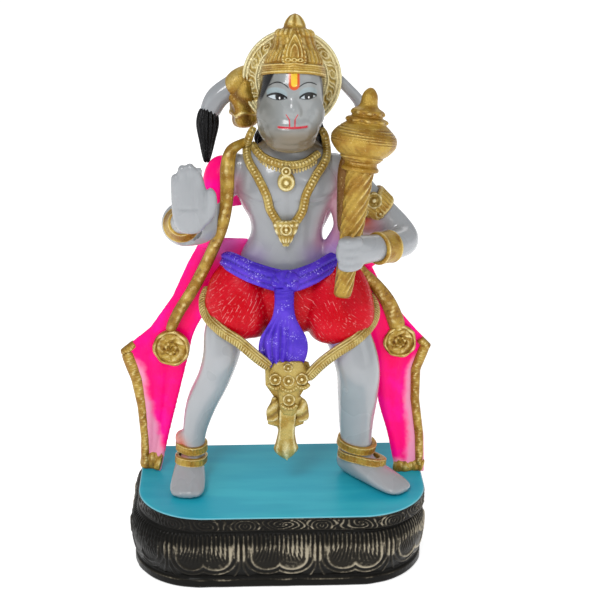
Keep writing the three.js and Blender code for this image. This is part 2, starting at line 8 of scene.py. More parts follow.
import bpy
import numpy as np
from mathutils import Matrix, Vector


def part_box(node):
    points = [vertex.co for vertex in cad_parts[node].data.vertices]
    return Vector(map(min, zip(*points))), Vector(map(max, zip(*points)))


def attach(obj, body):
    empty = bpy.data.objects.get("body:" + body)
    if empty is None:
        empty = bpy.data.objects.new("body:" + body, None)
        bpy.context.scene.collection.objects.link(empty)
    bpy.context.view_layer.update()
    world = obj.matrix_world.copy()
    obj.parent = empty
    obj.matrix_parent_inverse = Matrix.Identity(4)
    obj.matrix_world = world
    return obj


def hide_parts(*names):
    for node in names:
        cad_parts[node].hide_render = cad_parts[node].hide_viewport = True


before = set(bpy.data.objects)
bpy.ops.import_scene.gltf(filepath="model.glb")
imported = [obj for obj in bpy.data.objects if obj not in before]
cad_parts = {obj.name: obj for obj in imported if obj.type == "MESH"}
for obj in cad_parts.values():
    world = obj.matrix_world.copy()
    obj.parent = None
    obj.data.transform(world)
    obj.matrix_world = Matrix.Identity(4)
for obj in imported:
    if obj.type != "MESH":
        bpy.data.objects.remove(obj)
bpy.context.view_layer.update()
figure_low, figure_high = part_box("hanuman_figure")
_, plinth_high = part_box("lotus_plinth")

# %% [markdown]
# The figure was laid out in 258ths of its height, from the middle between its feet. The same
# numbers serve here: one function carries them into the frame, in metres. The plinth is laid out
# in millimetres from the middle of its underside.

# %% The figure's own measure
SHARES = 258.0
share = (figure_high.z - figure_low.z) / SHARES
figure_foot = np.array([2.1 * share, 0.0, figure_low.z])


def in_frame(points):
    """Figure coordinates times the share, moved to the figure's foot."""
    return figure_foot + share * np.asarray(points, float)


print("one share is", round(1000 * share, 4), "mm")

# %% [markdown]
# ## Camera, floor and light
# The picture was taken from a little above, almost straight in front, with a long lens. The lights
# are broad and soft, so the gloss shows as small bright patches and the gold keeps its colour.

# %% Camera


def new_object(name, data):
    """An object that holds a mesh, a lamp or a camera, linked to the scene."""
    thing = bpy.data.objects.new(name, data)
    bpy.context.scene.collection.objects.link(thing)
    return thing


azimuth, elevation, distance = np.radians(-2.0), np.radians(20.0), 0.8
aim = np.array([0.0104, 0.0, 0.1488])
back = np.array(
    [
        np.sin(azimuth) * np.cos(elevation),
        -np.cos(azimuth) * np.cos(elevation),
        np.sin(elevation),
    ]
)
camera_data = bpy.data.cameras.new("camera")
camera_data.lens = 89.2
camera = new_object("camera", camera_data)
camera.location = aim + distance * back
camera.rotation_euler = (np.pi / 2 - elevation, 0.0, azimuth)
bpy.context.scene.camera = camera
bpy.context.scene.view_settings.view_transform = "Standard"
print("camera at", [round(v, 3) for v in camera.location])

# %% Lights and world


def soft_light(name, place, size, power, colour=(1.0, 1.0, 1.0)):
    """A square lamp at place that looks at the middle of the figure."""
    data = bpy.data.lights.new(name, "AREA")
    data.size, data.energy, data.color = size, power, colour
    lamp = new_object(name, data)
    lamp.location = place
    away = np.array(place) - np.array([0.0, 0.0, 0.16])
    flat = np.hypot(away[0], away[1])
    lamp.rotation_euler = (np.arctan2(flat, away[2]), 0.0, np.arctan2(away[0], -away[1]))


soft_light("key", (-0.35, -1.0, 1.15), 0.4, 6.0)
soft_light("fill_left", (-1.3, -0.5, 0.5), 0.8, 1.9)
soft_light("fill_right", (1.2, -0.7, 0.6), 0.8, 2.3)
soft_light("rear", (0.2, 1.3, 1.2), 1.0, 3.4)
soft_light("sparkle", (0.3, -1.3, 0.7), 0.05, 0.9)
world = bpy.data.worlds.new("studio")
world.use_nodes = True
world.node_tree.nodes["Background"].inputs["Color"].default_value = (1.0, 1.0, 1.0, 1.0)
world.node_tree.nodes["Background"].inputs["Strength"].default_value = 0.46
bpy.context.scene.world = world
print("lights", len(bpy.data.lights))

# %% [markdown]
# ## A kit for finishes
# A finish is a material whose colour depends on where a point lies. It could be wired by hand in
# the node editor, but a page of wires is hard to read and to change. So sums are written as
# ordinary Python: a small class wraps a socket, and each operator adds one Math node.

# %% One way to make a node


def feed(tree, socket, value):
    """Links a Value to a socket, or types a number or a colour into it."""
    if isinstance(value, Value):
        tree.links.new(value.socket, socket)
    else:
        socket.default_value = value


def new_node(tree, kind, settings, sockets, out=0):
    """One shader node of a kind: its settings first, then values or links for its sockets."""
    node = tree.nodes.new("ShaderNode" + kind)
    for name, value in settings.items():
        setattr(node, name, value)
    for name, value in sockets.items():
        feed(tree, node.inputs[name], value)
    return Value(tree, node.outputs[out])


kinds = [name for name in dir(bpy.types) if name.startswith("ShaderNode")]
print("kinds of shader node to choose from:", len(kinds))

# %% Values that can be used in sums


class Value:
    """A number that varies over the surface. a + b, a - b, a * b and a / b add Math nodes."""

    def __init__(self, tree, socket):
        self.tree, self.socket = tree, socket

    def math(self, operation, *terms):
        """One Math node, whose terms are Values or numbers."""
        return new_node(self.tree, "Math", {"operation": operation}, dict(enumerate(terms)))

    def __add__(self, other):
        return self.math("ADD", self, other)

    def __sub__(self, other):
        return self.math("SUBTRACT", self, other)

    def __rsub__(self, other):
        return self.math("SUBTRACT", other, self)

    def __mul__(self, other):
        return self.math("MULTIPLY", self, other)

    def __truediv__(self, other):
        return self.math("DIVIDE", self, other)

    def __rtruediv__(self, other):
        return self.math("DIVIDE", other, self)

    def __abs__(self):
        return self.math("ABSOLUTE", self)

    def sine(self):
        """The sine of the number, taken as radians."""
        return self.math("SINE", self)

    def floor(self):
        """The whole number below."""
        return self.math("FLOOR", self)

    def least(self, other):
        """The smaller of the two."""
        return self.math("MINIMUM", self, other)

    def most(self, other):
        """The larger of the two."""
        return self.math("MAXIMUM", self, other)

    def step(self, low, high):
        """0 at low, 1 at high, with a soft bend at both; low may be the larger one."""
        sockets = {"Value": self, "From Min": low, "From Max": high}
        return new_node(self.tree, "MapRange", {"interpolation_type": "SMOOTHSTEP"}, sockets)

    __radd__ = __add__
    __rmul__ = __mul__


print("a Value also knows", [name for name in vars(Value) if name[0] != "_"])

# %% Finishes


def tint(red, green, blue):
    """A colour as seen on a screen, 0 to 255, as the linear light a shader works in."""
    seen = np.array([red, green, blue]) / 255.0
    return (*np.where(seen < 0.04045, seen / 12.92, ((seen + 0.055) / 1.055) ** 2.4), 1.0)


class Finish:
    """A material in the making. constants go straight to the shader's own sockets."""

    def __init__(self, name, constants):
        self.material = bpy.data.materials.new(name)
        self.material.use_nodes = True
        self.tree = self.material.node_tree
        self.shader = self.tree.nodes["Principled BSDF"]
        for socket, value in constants.items():
            self.shader.inputs[socket].default_value = value

    def feed(self, name, value):
        """Feeds one of the shader's own sockets."""
        feed(self.tree, self.shader.inputs[name], value)

    def node(self, kind, settings=None, sockets=None, out=0):
        """One node in this finish's tree."""
        return new_node(self.tree, kind, settings or {}, sockets or {}, out)

    def place(self):
        """x, y and z of the point in figure coordinates, and the bare position."""
        at = self.node("TexCoord", out=3)
        parts = self.node("SeparateXYZ", sockets={0: at})
        node = parts.socket.node
        axes = [Value(self.tree, node.outputs[k]) for k in range(3)]
        moved = [(axis - float(foot)) / share for axis, foot in zip(axes, figure_foot)]
        return (*moved, at)

    def mix(self, factor, first, second):
        """first where factor is 0, second where it is 1, as colours."""
        sockets = {0: factor, 6: first, 7: second}
        return self.node("Mix", {"data_type": "RGBA"}, sockets, out=2)

    def noise(self, at, size, detail=2.0):
        """Cloudy noise around 0.5, with clouds about size millimetres across."""
        sockets = {"Vector": at, "Scale": 1000.0 / size, "Detail": detail}
        return self.node("TexNoise", sockets=sockets)

    def layer(self, name):
        """A number kept at each vertex of the piece."""
        return self.node("Attribute", {"attribute_name": name}, out=2)

    def bump(self, height, depth, strength=1.0):
        """Height in shares of depth millimetres, as a bend of the normal."""
        sockets = {"Height": height, "Distance": 0.001 * depth, "Strength": strength}
        self.feed("Normal", self.node("Bump", sockets=sockets))

    def colour(self, value):
        """The paint's own colour."""
        self.feed("Base Color", value)

    def rough(self, value):
        """0 is a mirror and 1 is chalk."""
        self.feed("Roughness", value)

    def coat(self, value):
        """How much clear gloss lies over the paint."""
        self.feed("Coat Weight", value)


print("middle grey on a screen is", round(tint(128, 128, 128)[0], 3), "to a shader")

# %% Floor
floor_finish = Finish(
    "floor_white",
    {
        "Roughness": 0.9,
        "Base Color": (0.9, 0.9, 0.9, 1.0),
        "Emission Color": (1.0, 1.0, 1.0, 1.0),
        "Emission Strength": 0.66,
    },
)
floor_mesh = bpy.data.meshes.new("floor")
reach = 7.0
floor_mesh.from_pydata(
    [(-reach, -reach, 0), (reach, -reach, 0), (reach, reach, 0), (-reach, reach, 0)],
    [],
    [(0, 1, 2, 3)],
)
floor_mesh.materials.append(floor_finish.material)
floor = new_object("floor", floor_mesh)
floor.location.z = -0.0004
print("floor is", 2 * reach, "m across")

# %% [markdown] ## A kit for surfaces A limb, a cord, a turned foot and a thin plate are all the
# same thing: rings of points along a path. They could be pulled out of cubes by hand, but then
# no size could be changed later.

# %% Curves


def curve(points, t):
    """Reads a smooth curve through points at t from 0 to 1.

    Between two points it is a cubic whose slope at each is half the step between its two
    neighbours, with mirrored points past the ends.
    """
    points = np.asarray(points, float)
    ends = (2 * points[:1] - points[1:2], 2 * points[-1:] - points[-2:-1])
    padded = np.vstack([ends[0], points, ends[1]])
    spans = len(points) - 1
    place = np.clip(t, 0.0, 1.0) * spans
    k = np.minimum(place.astype(int), spans - 1)
    w = (place - k)[..., None]
    a, b, c, d = (padded[k + i] for i in range(4))
    return 0.5 * (
        2 * b + (c - a) * w + (2 * a - 5 * b + 4 * c - d) * w**2 + (3 * b - a - 3 * c + d) * w**3
    )


def unit(vectors):
    """Vectors divided by their own length."""
    return vectors / np.maximum(np.linalg.norm(vectors, axis=-1, keepdims=True), 1e-9)


def smoothstep(value, low, high):
    """0 at low, 1 at high, 3t² - 2t³ between; low may be the larger one."""
    t = np.clip((value - low) / (high - low), 0.0, 1.0)
    return t * t * (3 - 2 * t)


def between(value, low, full, still_full, high):
    """Rises from 0 at low to 1 at full, and falls from 1 at still_full to 0 at high."""
    return smoothstep(value, low, full) * smoothstep(value, high, still_full)


def circle(count):
    """Even steps round a circle, from 0 to just under 2 pi."""
    return np.linspace(0, 2 * np.pi, count, endpoint=False)


def ridge(distance, width):
    """A rounded line of height 1 where distance is 0, the bell exp(-(d / width)²)."""
    return np.exp(-((distance / width) ** 2))


FRONT = np.array([0.0, -1.0, 0.0])
UP = np.array([0.0, 0.0, 1.0])
print("an arch at its quarter", curve([(0, 0), (1, 1), (2, 0)], np.array([0.25])).round(3))

# %% Rings along a path


def limb(stations, across=40, along=80, front=FRONT, blunt=5.0):
    """Oval rings along a smooth path of [x, y, z, half-width, half-depth] stations.

    Each ring is centre + side cos(a) width + depth sin(a) depth, both times the end's rounding
    (1 - |2t - 1|^blunt)^(1 / blunt). The rings crowd towards the ends as a cosine does.
    front is the way the depth points, or a function that gives it from the path's own way.
    """
    table = np.array([[*s, s[3]] if len(s) == 4 else s for s in stations], float)
    t = 0.5 - 0.5 * np.cos(np.pi * np.linspace(0, 1, along + 2)[1:-1])
    near = 1e-4
    way = unit(curve(table[:, :3], t + near) - curve(table[:, :3], t - near))
    front = front(way) if callable(front) else np.asarray(front, float)
    depth = unit(front - np.sum(way * front, axis=1)[:, None] * way)
    side = np.cross(depth, way)
    size = curve(table[:, 3:], t) * ((1 - np.abs(2 * t - 1) ** blunt) ** (1 / blunt))[:, None]
    a = circle(across)[None, :, None]
    rows = curve(table[:, :3], t)[:, None] + np.cos(a) * (side * size[:, :1])[:, None]
    return rows + np.sin(a) * (depth * size[:, 1:])[:, None]


def arc_length(rows):
    """How far each ring's middle lies along the piece, in shares."""
    middle = rows.mean(axis=1)
    steps = np.linalg.norm(np.diff(middle, axis=0), axis=1)
    return np.concatenate([[0.0], np.cumsum(steps)])


def grid_of(rows):
    """The turn round each ring, 0 to 2 pi, and the share along the piece, 0 to 1."""
    along, across, _ = rows.shape
    return circle(across)[None, :], np.linspace(0, 1, along)[:, None]


def cord(points, half_width, half_depth, across=24, along=200, front=(0, -1, 0.2)):
    """A limb of one thickness along points, of one width or of one width a point."""
    widths = np.broadcast_to(half_width, len(points))
    stations = [(*p, width, half_depth) for p, width in zip(points, widths)]
    return limb(stations, across, along, front, 9.0)


print("a limb's rings and points", limb([(0, 0, 0, 1), (0, 0, 9, 1)]).shape[:2])

# %% Turned parts and eggs


def turned(profile, foot, axis, across=96, along=120, front=FRONT, soft=False):
    """Rings round an axis at even steps along a profile of [radius, height].

    A soft profile is read as a smooth curve through its points, a plain one as straight steps.
    """
    profile = np.array(profile, float)
    if soft:
        profile = curve(profile, np.linspace(0, 1, 12 * len(profile)))
    reach = np.concatenate([[0], np.cumsum(np.linalg.norm(np.diff(profile, axis=0), axis=1))])
    s = np.linspace(0, reach[-1], along)
    radius = np.maximum(np.interp(s, reach, profile[:, 0]), 0.01)
    height = np.interp(s, reach, profile[:, 1])
    y = unit(np.asarray(axis, float))
    front = np.asarray(front, float)
    z = unit(front - (front @ y) * y)
    x = np.cross(y, z)
    a = circle(across)
    ring = np.sin(a)[:, None] * x + np.cos(a)[:, None] * z
    rows = np.asarray(foot, float) + height[:, None, None] * y + radius[:, None, None] * ring
    return rows, radius, height, a


def egg(centre, half_axes, across=28, along=22):
    """A ball squeezed to three half-axes."""
    a = circle(across)[None, :]
    b = np.pi * np.linspace(0, 1, along + 2)[1:-1, None]
    ball = np.stack([np.sin(b) * np.cos(a), np.sin(b) * np.sin(a), np.cos(b) + 0 * a], -1)
    return np.asarray(centre) + ball * np.asarray(half_axes)


print("an egg has", egg((0, 0, 0), (1, 1, 1)).shape[0], "rings")

# %% Relief and sewing


def raised(rows, height):
    """Each point moved out along its normal by height, which is in shares.

    The normal is the cross product of the steps round the ring and along the rings.
    """
    around = np.roll(rows, -1, axis=1) - np.roll(rows, 1, axis=1)
    normal = unit(np.cross(around, np.gradient(rows, axis=0)))
    out = rows - rows.mean(axis=1, keepdims=True)
    if np.sum(normal * out) < 0:
        normal = -normal
    return rows + normal * np.broadcast_to(height, rows.shape[:2])[..., None]


def six_volumes(points, quads, tris):
    """Six times the volume inside: each triangle's corner times the product of the other two."""
    corners = points[np.vstack([quads[:, :3], quads[:, [0, 2, 3]], tris])]
    return np.sum(corners[:, 0] * np.cross(corners[:, 1], corners[:, 2]))


def sewn(rows, relief=0.5):
    """Rings as points, quads and end fans, turned so that the enclosed volume is positive."""
    n, m, _ = rows.shape
    points = np.vstack([rows.reshape(-1, 3), rows[0].mean(0), rows[-1].mean(0)])
    j = np.arange(m)
    k = (j + 1) % m
    i = m * np.arange(n - 1)[:, None]
    quads = np.stack([i + j, i + k, i + m + k, i + m + j], -1).reshape(-1, 4)
    last = m * (n - 1)
    first_fan = np.stack([k, j, 0 * j + n * m], -1)
    last_fan = np.stack([last + j, last + k, 0 * j + n * m + 1], -1)
    tris = np.vstack([first_fan, last_fan])
    if six_volumes(points, quads, tris) < 0:
        quads, tris = quads[:, ::-1], tris[:, ::-1]
    heights = np.broadcast_to(relief, (n, m)).ravel()
    heights = np.concatenate([heights, [heights[:m].mean(), heights[-m:].mean()]])
    return points, quads, tris, heights


def carved(rows, height, tone):
    """Rings with relief pressed into them, sewn up. tone, 0 to 1, is what the paint will read."""
    return sewn(raised(rows, height), np.clip(tone, 0, 1))


def joined(parts):
    """Several sewn skins as one list of points, quads, fans and heights."""
    counts = np.cumsum([0] + [len(part[0]) for part in parts])
    points = np.vstack([part[0] for part in parts])
    quads = np.vstack([part[1] + c for part, c in zip(parts, counts)])
    tris = np.vstack([part[2] + c for part, c in zip(parts, counts)])
    return points, quads, tris, np.concatenate([part[3] for part in parts])


two_eggs = joined([sewn(egg((0, 0, 0), (1, 1, 1))), sewn(egg((3, 0, 0), (1, 1, 1)))])
print("two sewn eggs have", len(two_eggs[1]), "quads and", len(two_eggs[2]), "triangles")

# %% From points to an object


def mesh_of(name, points, quads, tris):
    """A mesh with its points in the frame; corners and faces are set as whole arrays."""
    mesh = bpy.data.meshes.new(name)
    mesh.vertices.add(len(points))
    mesh.vertices.foreach_set("co", np.asarray(points, np.float32).ravel())
    corners = np.concatenate([quads.ravel(), tris.ravel()]).astype(np.int32)
    starts = np.concatenate([4 * np.arange(len(quads)), 4 * len(quads) + 3 * np.arange(len(tris))])
    mesh.loops.add(len(corners))
    mesh.loops.foreach_set("vertex_index", corners)
    mesh.polygons.add(len(starts))
    mesh.polygons.foreach_set("loop_start", starts.astype(np.int32))
    mesh.update(calc_edges=True)
    mesh.validate()
    mesh.polygons.foreach_set("use_smooth", np.ones(len(mesh.polygons), bool))
    return mesh


def keep_layer(mesh, name, values):
    """Writes one number a vertex, for the finish to read."""
    layer = mesh.attributes.new(name, "FLOAT", "POINT")
    layer.data.foreach_set("value", np.asarray(values, np.float32))


def hand_over(mesh, finish, node="hanuman_figure"):
    """Puts a mesh on the scene as a finished piece that stands for a node of the frame."""
    mesh.materials.clear()
    mesh.materials.append(finish.material)
    piece = new_object(mesh.name, mesh)
    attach(piece, "root")
    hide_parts(node)
    mesh.calc_loop_triangles()
    print(mesh.name, len(mesh.loop_triangles), "triangles")


def lay_out(name, parts, finish):
    """Joins sewn skins into one finished piece of the figure."""
    points, quads, tris, heights = joined(parts)
    mesh = mesh_of(name, in_frame(points), quads, tris)
    keep_layer(mesh, "relief", heights)
    hand_over(mesh, finish)


trial = mesh_of("trial", *two_eggs[:3])
print("the two eggs as a mesh have", len(trial.polygons), "faces")
bpy.data.meshes.remove(trial)

# %% [markdown]
# Where an arm passes into a shoulder no seam shows on a casting. A union of the parts would leave
# a sharp crease there, so they are melted: remeshed in small cubes and then relaxed.

# %% Melting parts together


def melted(name, parts, voxel, smoothing):
    """Parts that pass into one another as one skin, with soft seams.

    A voxel remesh keeps only the outside of all parts, and a smoothing modifier relaxes it.
    """
    points, quads, tris, _ = joined(parts)
    rough = new_object("rough_" + name, mesh_of("rough", in_frame(points), quads, tris))
    remesh = rough.modifiers.new("remesh", "REMESH")
    remesh.mode, remesh.voxel_size = "VOXEL", voxel * share
    soft = rough.modifiers.new("soft", "SMOOTH")
    soft.factor, soft.iterations = 0.5, smoothing
    graph = bpy.context.evaluated_depsgraph_get()
    mesh = bpy.data.meshes.new_from_object(rough.evaluated_get(graph))
    bpy.data.objects.remove(rough)
    mesh.name = name
    mesh.polygons.foreach_set("use_smooth", np.ones(len(mesh.polygons), bool))
    return mesh


def read_mesh(mesh):
    """The points in shares and the normals of a mesh."""
    points = np.empty(3 * len(mesh.vertices))
    mesh.vertices.foreach_get("co", points)
    normals = np.empty(3 * len(mesh.vertices))
    mesh.vertex_normals.foreach_get("vector", normals)
    return (points.reshape(-1, 3) - figure_foot) / share, normals.reshape(-1, 3)


def write_mesh(mesh, points):
    """Puts moved points back, none of them below the soles."""
    points = np.array(points)
    points[:, 2] = np.maximum(points[:, 2], 0.0)
    mesh.vertices.foreach_set("co", in_frame(points).astype(np.float32).ravel())
    mesh.update()


def nearness(points, path, reach):
    """1 on a path, falling to 0 at about reach shares from it, as exp(-(d / reach)²)."""
    best = np.full(len(points), np.inf)
    for start in np.array_split(np.arange(len(points)), max(1, len(points) // 20000)):
        gaps = points[start][:, None, :] - path[None]
        best[start] = np.einsum("ijk,ijk->ij", gaps, gaps).min(axis=1)
    return np.exp(-best / reach**2)


one_point, one_path = np.array([[0.0, 0.0, 1.0]]), np.zeros((1, 3))
print("half a reach away, nearness is", nearness(one_point, one_path, 2.0).round(3))

# %% [markdown]
# ## The paints
# The gold is a metallic paint. Shade and light are painted into its colour: a brown painted shade in
# the hollows, pale painted highlights on the ridges and small painted glints. A pattern laid by place
# alone would ignore the carving, so each piece keeps its relief at its vertices, and the paint reads it
# there.

# %% Gold paint


def gold_paint(name, painted_hollow_shade, deep, plain, painted_crest_highlight):
    """Metallic paint by relief: a brown painted shade in the hollows and painted highlights and glints
    on the crests, with cloudy patches between deep and plain.
    """
    paint = Finish(name, {"Metallic": 0.4, "Coat Weight": 0.0, "Specular IOR Level": 0.5})
    _, _, _, at = paint.place()
    relief, flakes = paint.layer("relief"), paint.noise(at, 0.8, 3.0)
    patches, lumps = paint.noise(at, 8.0), paint.noise(at, 3.0)
    body = paint.mix(patches.step(0.38, 0.62), deep, plain)
    # painted shade: the hollows are painted brown
    body = paint.mix(relief.step(0.5, 0.05), body, painted_hollow_shade)
    # painted highlights on the ridges, and painted glints where the flakes peak
    painted_highlight = (relief + flakes * 0.4 + lumps * 0.3).step(0.9, 1.4)
    painted_glints = flakes.step(0.63, 0.72) * 0.55
    paint.colour(paint.mix(painted_highlight.most(painted_glints), body, painted_crest_highlight))
    paint.rough(0.22 + patches * 0.16)
    paint.bump(flakes + lumps * 1.5, 0.5, 0.8)
    return paint


amber = gold_paint(
    "amber_gold", tint(100, 60, 10), tint(156, 114, 28), tint(184, 150, 60), tint(238, 218, 148)
)
pale = gold_paint(
    "pale_gold", tint(116, 84, 26), tint(166, 134, 52), tint(191, 168, 93), tint(244, 233, 182)
)
print("gold paints:", amber.material.name, pale.material.name)

# %% Cloth and hair paints


def cloth_paint(name, deep, plain, light, spark):
    """A glossy enamel with a painted shade, darker in the hollows, and painted glints: pin-point
    highlights that stand in clusters.
    """
    paint = Finish(name, {"Specular IOR Level": 0.22})
    _, _, _, at = paint.place()
    relief, grain = paint.layer("relief"), paint.noise(at, 0.8, 3.0)
    patches = paint.noise(at, 14.0)
    body = paint.mix(patches.step(0.38, 0.68), plain, light)
    # painted shade: the hollows take the deep colour
    body = paint.mix(relief.step(0.5, 0.05), body, deep)
    clusters = paint.noise(at, 5.0, 1.0).step(0.46, 0.62)
    # painted glints: pin-point highlights in clusters
    paint.colour(paint.mix(grain.step(0.56, 0.66) * clusters * 0.8, body, spark))
    paint.rough(0.22 + patches * 0.1)
    paint.bump(grain, 0.3, 0.8)
    return paint


violet = cloth_paint(
    "violet_enamel", tint(38, 16, 124), tint(70, 40, 186), tint(94, 60, 210), tint(186, 172, 255)
)
black = cloth_paint("black_enamel", tint(2, 2, 3), tint(7, 7, 9), tint(15, 15, 18), tint(60, 60, 66))
print("enamels:", violet.material.name, black.material.name)

# %% [markdown]
# ## The white body
# The body is bare white resin under gloss. It could be sculpted by hand from one ball. Here torso,
# arms, tail and head are shaped as limbs, melted into one skin, and then sculpted by moving its
# points along their normals, so every muscle is a line with a place and a size. A few fillers
# stand for the webs of resin that the mould left between body, mace hand and armlet.

# %% Torso and arms
TRUNK = [
    (1, 5, 91, 12, 7), (0.5, 5, 105, 22, 13), (0, 6, 118, 25, 14), (0.6, 6.5, 129, 24.2, 13.4),
    (1.4, 7, 141, 19.4, 12.4), (1.8, 7, 151, 20.4, 13.2), (1.6, 7, 160, 24.6, 14.6),
    (1.6, 7, 168, 27.6, 15.2), (2.2, 8, 177, 26.6, 14.6), (3.5, 9, 186, 21.5, 11.5),
    (4, 9, 195, 13, 10), (4, 8, 203, 12, 10),
]
BLESSING_ARM = [
    (-20, 9, 183, 8.6), (-31, 8, 170, 8), (-36, 6, 159, 7.6), (-43, 3.5, 148.6, 9.4),
    (-52.8, -1, 150.4, 12.2), (-53.8, -8.4, 152.4, 7.8), (-53, -14, 155, 6.6),
    (-50.5, -19, 157, 6.8),
]
PALM = [
    (-49, -21, 152, 7.6, 5.2), (-48.5, -22.5, 160, 9, 5), (-48.8, -23, 170, 9.4, 4.2),
    (-49.4, -23.4, 179, 8.6, 3.2), (-49.4, -24, 184, 7.2, 2.4),
]
THUMB = [
    (-43, -21, 157, 4), (-38.6, -23.5, 164, 3.5), (-37.4, -25, 171, 2.9), (-38, -26, 176.6, 2.2),
]
MACE_ARM = [
    (22, 9, 182, 8), (33, 10, 173.5, 8.4), (43.6, 11.5, 161.4, 8), (52, 12, 152.4, 8),
    (61, 9, 143, 8.2), (63.6, 2, 139, 8), (57, -9, 139.8, 7.4), (46, -18.4, 141.4, 7.3),
    (37, -24, 142.2, 8.4), (29, -25.4, 142, 8.0),
]
print("arm stations", len(BLESSING_ARM) + len(MACE_ARM))

# %% Fingers and fillers
raised_fingers = [
    limb([(x, -23.2, top - 14, 2.7, 2.9), (x * 0.98 - 0.9, -24, top, 2.7, 2.6)], 24, 30, blunt=3)
    for x, top in [(-44, 187.4), (-48, 189.2), (-52, 188.4), (-55.6, 183.8)]
]
gripping_fingers = [
    limb(
        [
            (39, -28, z, 2.7), (32.5, -31.6, z - 0.3, 2.9), (27.2, -28.5, z - 0.5, 2.6),
        ],
        20,
        24,
        UP,
    )
    for z in (148.6, 144.4, 140.2, 136.0)
]
WEB = [(27, 6, 168, 5.6), (28.8, 5, 157, 4.6), (30, 4, 147, 4.0), (28, 4, 137, 6.4), (25, 4, 129, 8)]
fillers = [
    egg((31.6, -28, 142.2), (6, 5, 9), 40, 30),
    limb(WEB, 28, 40),
    limb([(53, 10, 149, 7), (46, 7, 146, 6.4), (38, 3, 145, 5)], 28, 30, UP),
]
arms = [
    limb(BLESSING_ARM, 40, 100, (0, -0.4, 1)),
    limb(PALM, 40, 50),
    limb(THUMB, 24, 30),
    limb(MACE_ARM, 40, 140, (0.3, -0.2, 1)),
]
print("arm rings", arms[0].shape[0] + arms[3].shape[0])

# %% Head
SKULL = [
    (3.6, -2, 191, 9, 9), (2.9, -0.5, 196.6, 15.2, 14.2), (2.8, 1.2, 204, 17, 16.4),
    (3.3, 2.6, 212, 17.2, 16.2), (4.2, 4, 221, 16.4, 16), (4.7, 5, 229, 14.8, 14.6),
    (5, 6, 237, 12, 11.6), (5, 7, 243, 9, 9),
]
NOSE = [
    (4.5, -7.6, 227, 3, 2.6), (4.4, -9.8, 220, 3.2, 2.6), (4.2, -12.0, 214.5, 4.2, 3.2),
    (4.1, -13.2, 209.6, 5.6, 3.4),
]
head = [
    limb(SKULL, 56, 70, blunt=4),
    egg((3.4, -6.2, 202.4), (14.6, 10.8, 10.8), 48, 36),
    egg((3.2, -5.4, 197), (13.4, 9, 7.8), 48, 36),
    limb(NOSE, 32, 40),
    egg((-5.2, -3.6, 209.4), (9, 8.4, 9), 48, 36),
    egg((12.4, -3.6, 209.4), (8.6, 8.4, 9), 48, 36),
]
print("head parts", len(head))

# %% Tail, and the upper body melted
TAIL = [
    (0, 17, 110, 5.4), (14, 24, 134, 5), (30, 27, 165, 4.4), (41, 28.5, 190, 3.9),
    (42, 28.5, 205, 3.4), (35.6, 28, 214.6, 3.0), (22, 28, 226, 2.8), (0, 28, 230, 3.6),
    (-18, 27.6, 224, 5), (-27, 27, 217.6, 5.8), (-34.6, 26, 211.6, 6.3), (-38.4, 25, 204.8, 6.2),
    (-40, 24, 199, 5.8),
]
upper_parts = [limb(TRUNK, 64, 100), *arms, *raised_fingers, *gripping_fingers, *fillers, *head]
upper_parts.append(limb(TAIL, 28, 200, (0, -1, 0.3)))
upper_body = melted("upper_body", [sewn(rows) for rows in upper_parts], 0.72, 14)
print("upper body", len(upper_body.polygons), "faces before sculpting")

# %% [markdown]
# The face is nearly smooth: sockets, lids, brows and a mouth line. More could be carved, but on the
# real idol too the brush does most of the work, so the relief stays shallow.

# %% Sculpting the face and the chest


def sculpt_upper(points, normals):
    """Shallow hollows and swellings, each a bell over x and z on the front of the body."""
    x, y, z = points.T
    face = (y < 2) & (z > 190)
    front = (y < 2) & (z < 190)

    def bell(x0, z0, wide, high):
        """exp(-(x / wide)² - (z / high)²) round the point x0, z0."""
        return np.exp(-(((x - x0) / wide) ** 2) - ((z - z0) / high) ** 2)

    lips = ridge(z - 204.9 - 0.004 * (x - 4.1) ** 2, 0.8) * smoothstep(np.abs(x - 4.1), 9.0, 6.6)
    move = face * (
        -0.9 * bell(-3.4, 219.6, 5.6, 3.2)
        - 0.9 * bell(12.0, 219.6, 5.6, 3.2)
        + 0.6 * bell(-3.4, 219.6, 3.4, 1.9)
        + 0.6 * bell(12.0, 219.6, 3.4, 1.9)
        + 0.4 * bell(-2.6, 225.6, 5.4, 1.8)
        + 0.4 * bell(12, 225.4, 5.4, 1.8)
        - 0.45 * bell(2.2, 210.8, 0.8, 1.0)
        - 0.45 * bell(5.9, 210.8, 0.8, 1.0)
        - 0.6 * lips
    )
    crease = ridge(z - 162.6 - 0.02 * (np.abs(x - 2.6) - 12) ** 2, 1.3)
    crease = crease * smoothstep(np.abs(x - 2.6), 2, 6)
    move += front * (
        1.5 * bell(-9.5, 171, 9.5, 8.5)
        + 1.5 * bell(15.8, 171.6, 9, 8.5)
        - 0.6 * crease
        - 0.5 * ridge(x - 2.4, 1.6) * between(z, 134, 142, 174, 182)
        - 0.4 * bell(-46, 168, 1.0, 9)
        - 0.35 * bell(-50, 166, 6, 0.9)
    )
    return points + normals * move[:, None]


points, normals = read_mesh(upper_body)
sculpted = sculpt_upper(points, normals)
write_mesh(upper_body, sculpted)
print("deepest cut", round(float(np.abs(sculpted - points).max()), 2), "shares")

# %% [markdown]
# The legs are bare from the dhoti down. Each is one limb from hip to sole with a wedge for a foot
# melted to it. Calves and knees could be wider stations of the limb, but that would swell it all
# round, so they are bells added on one side alone.

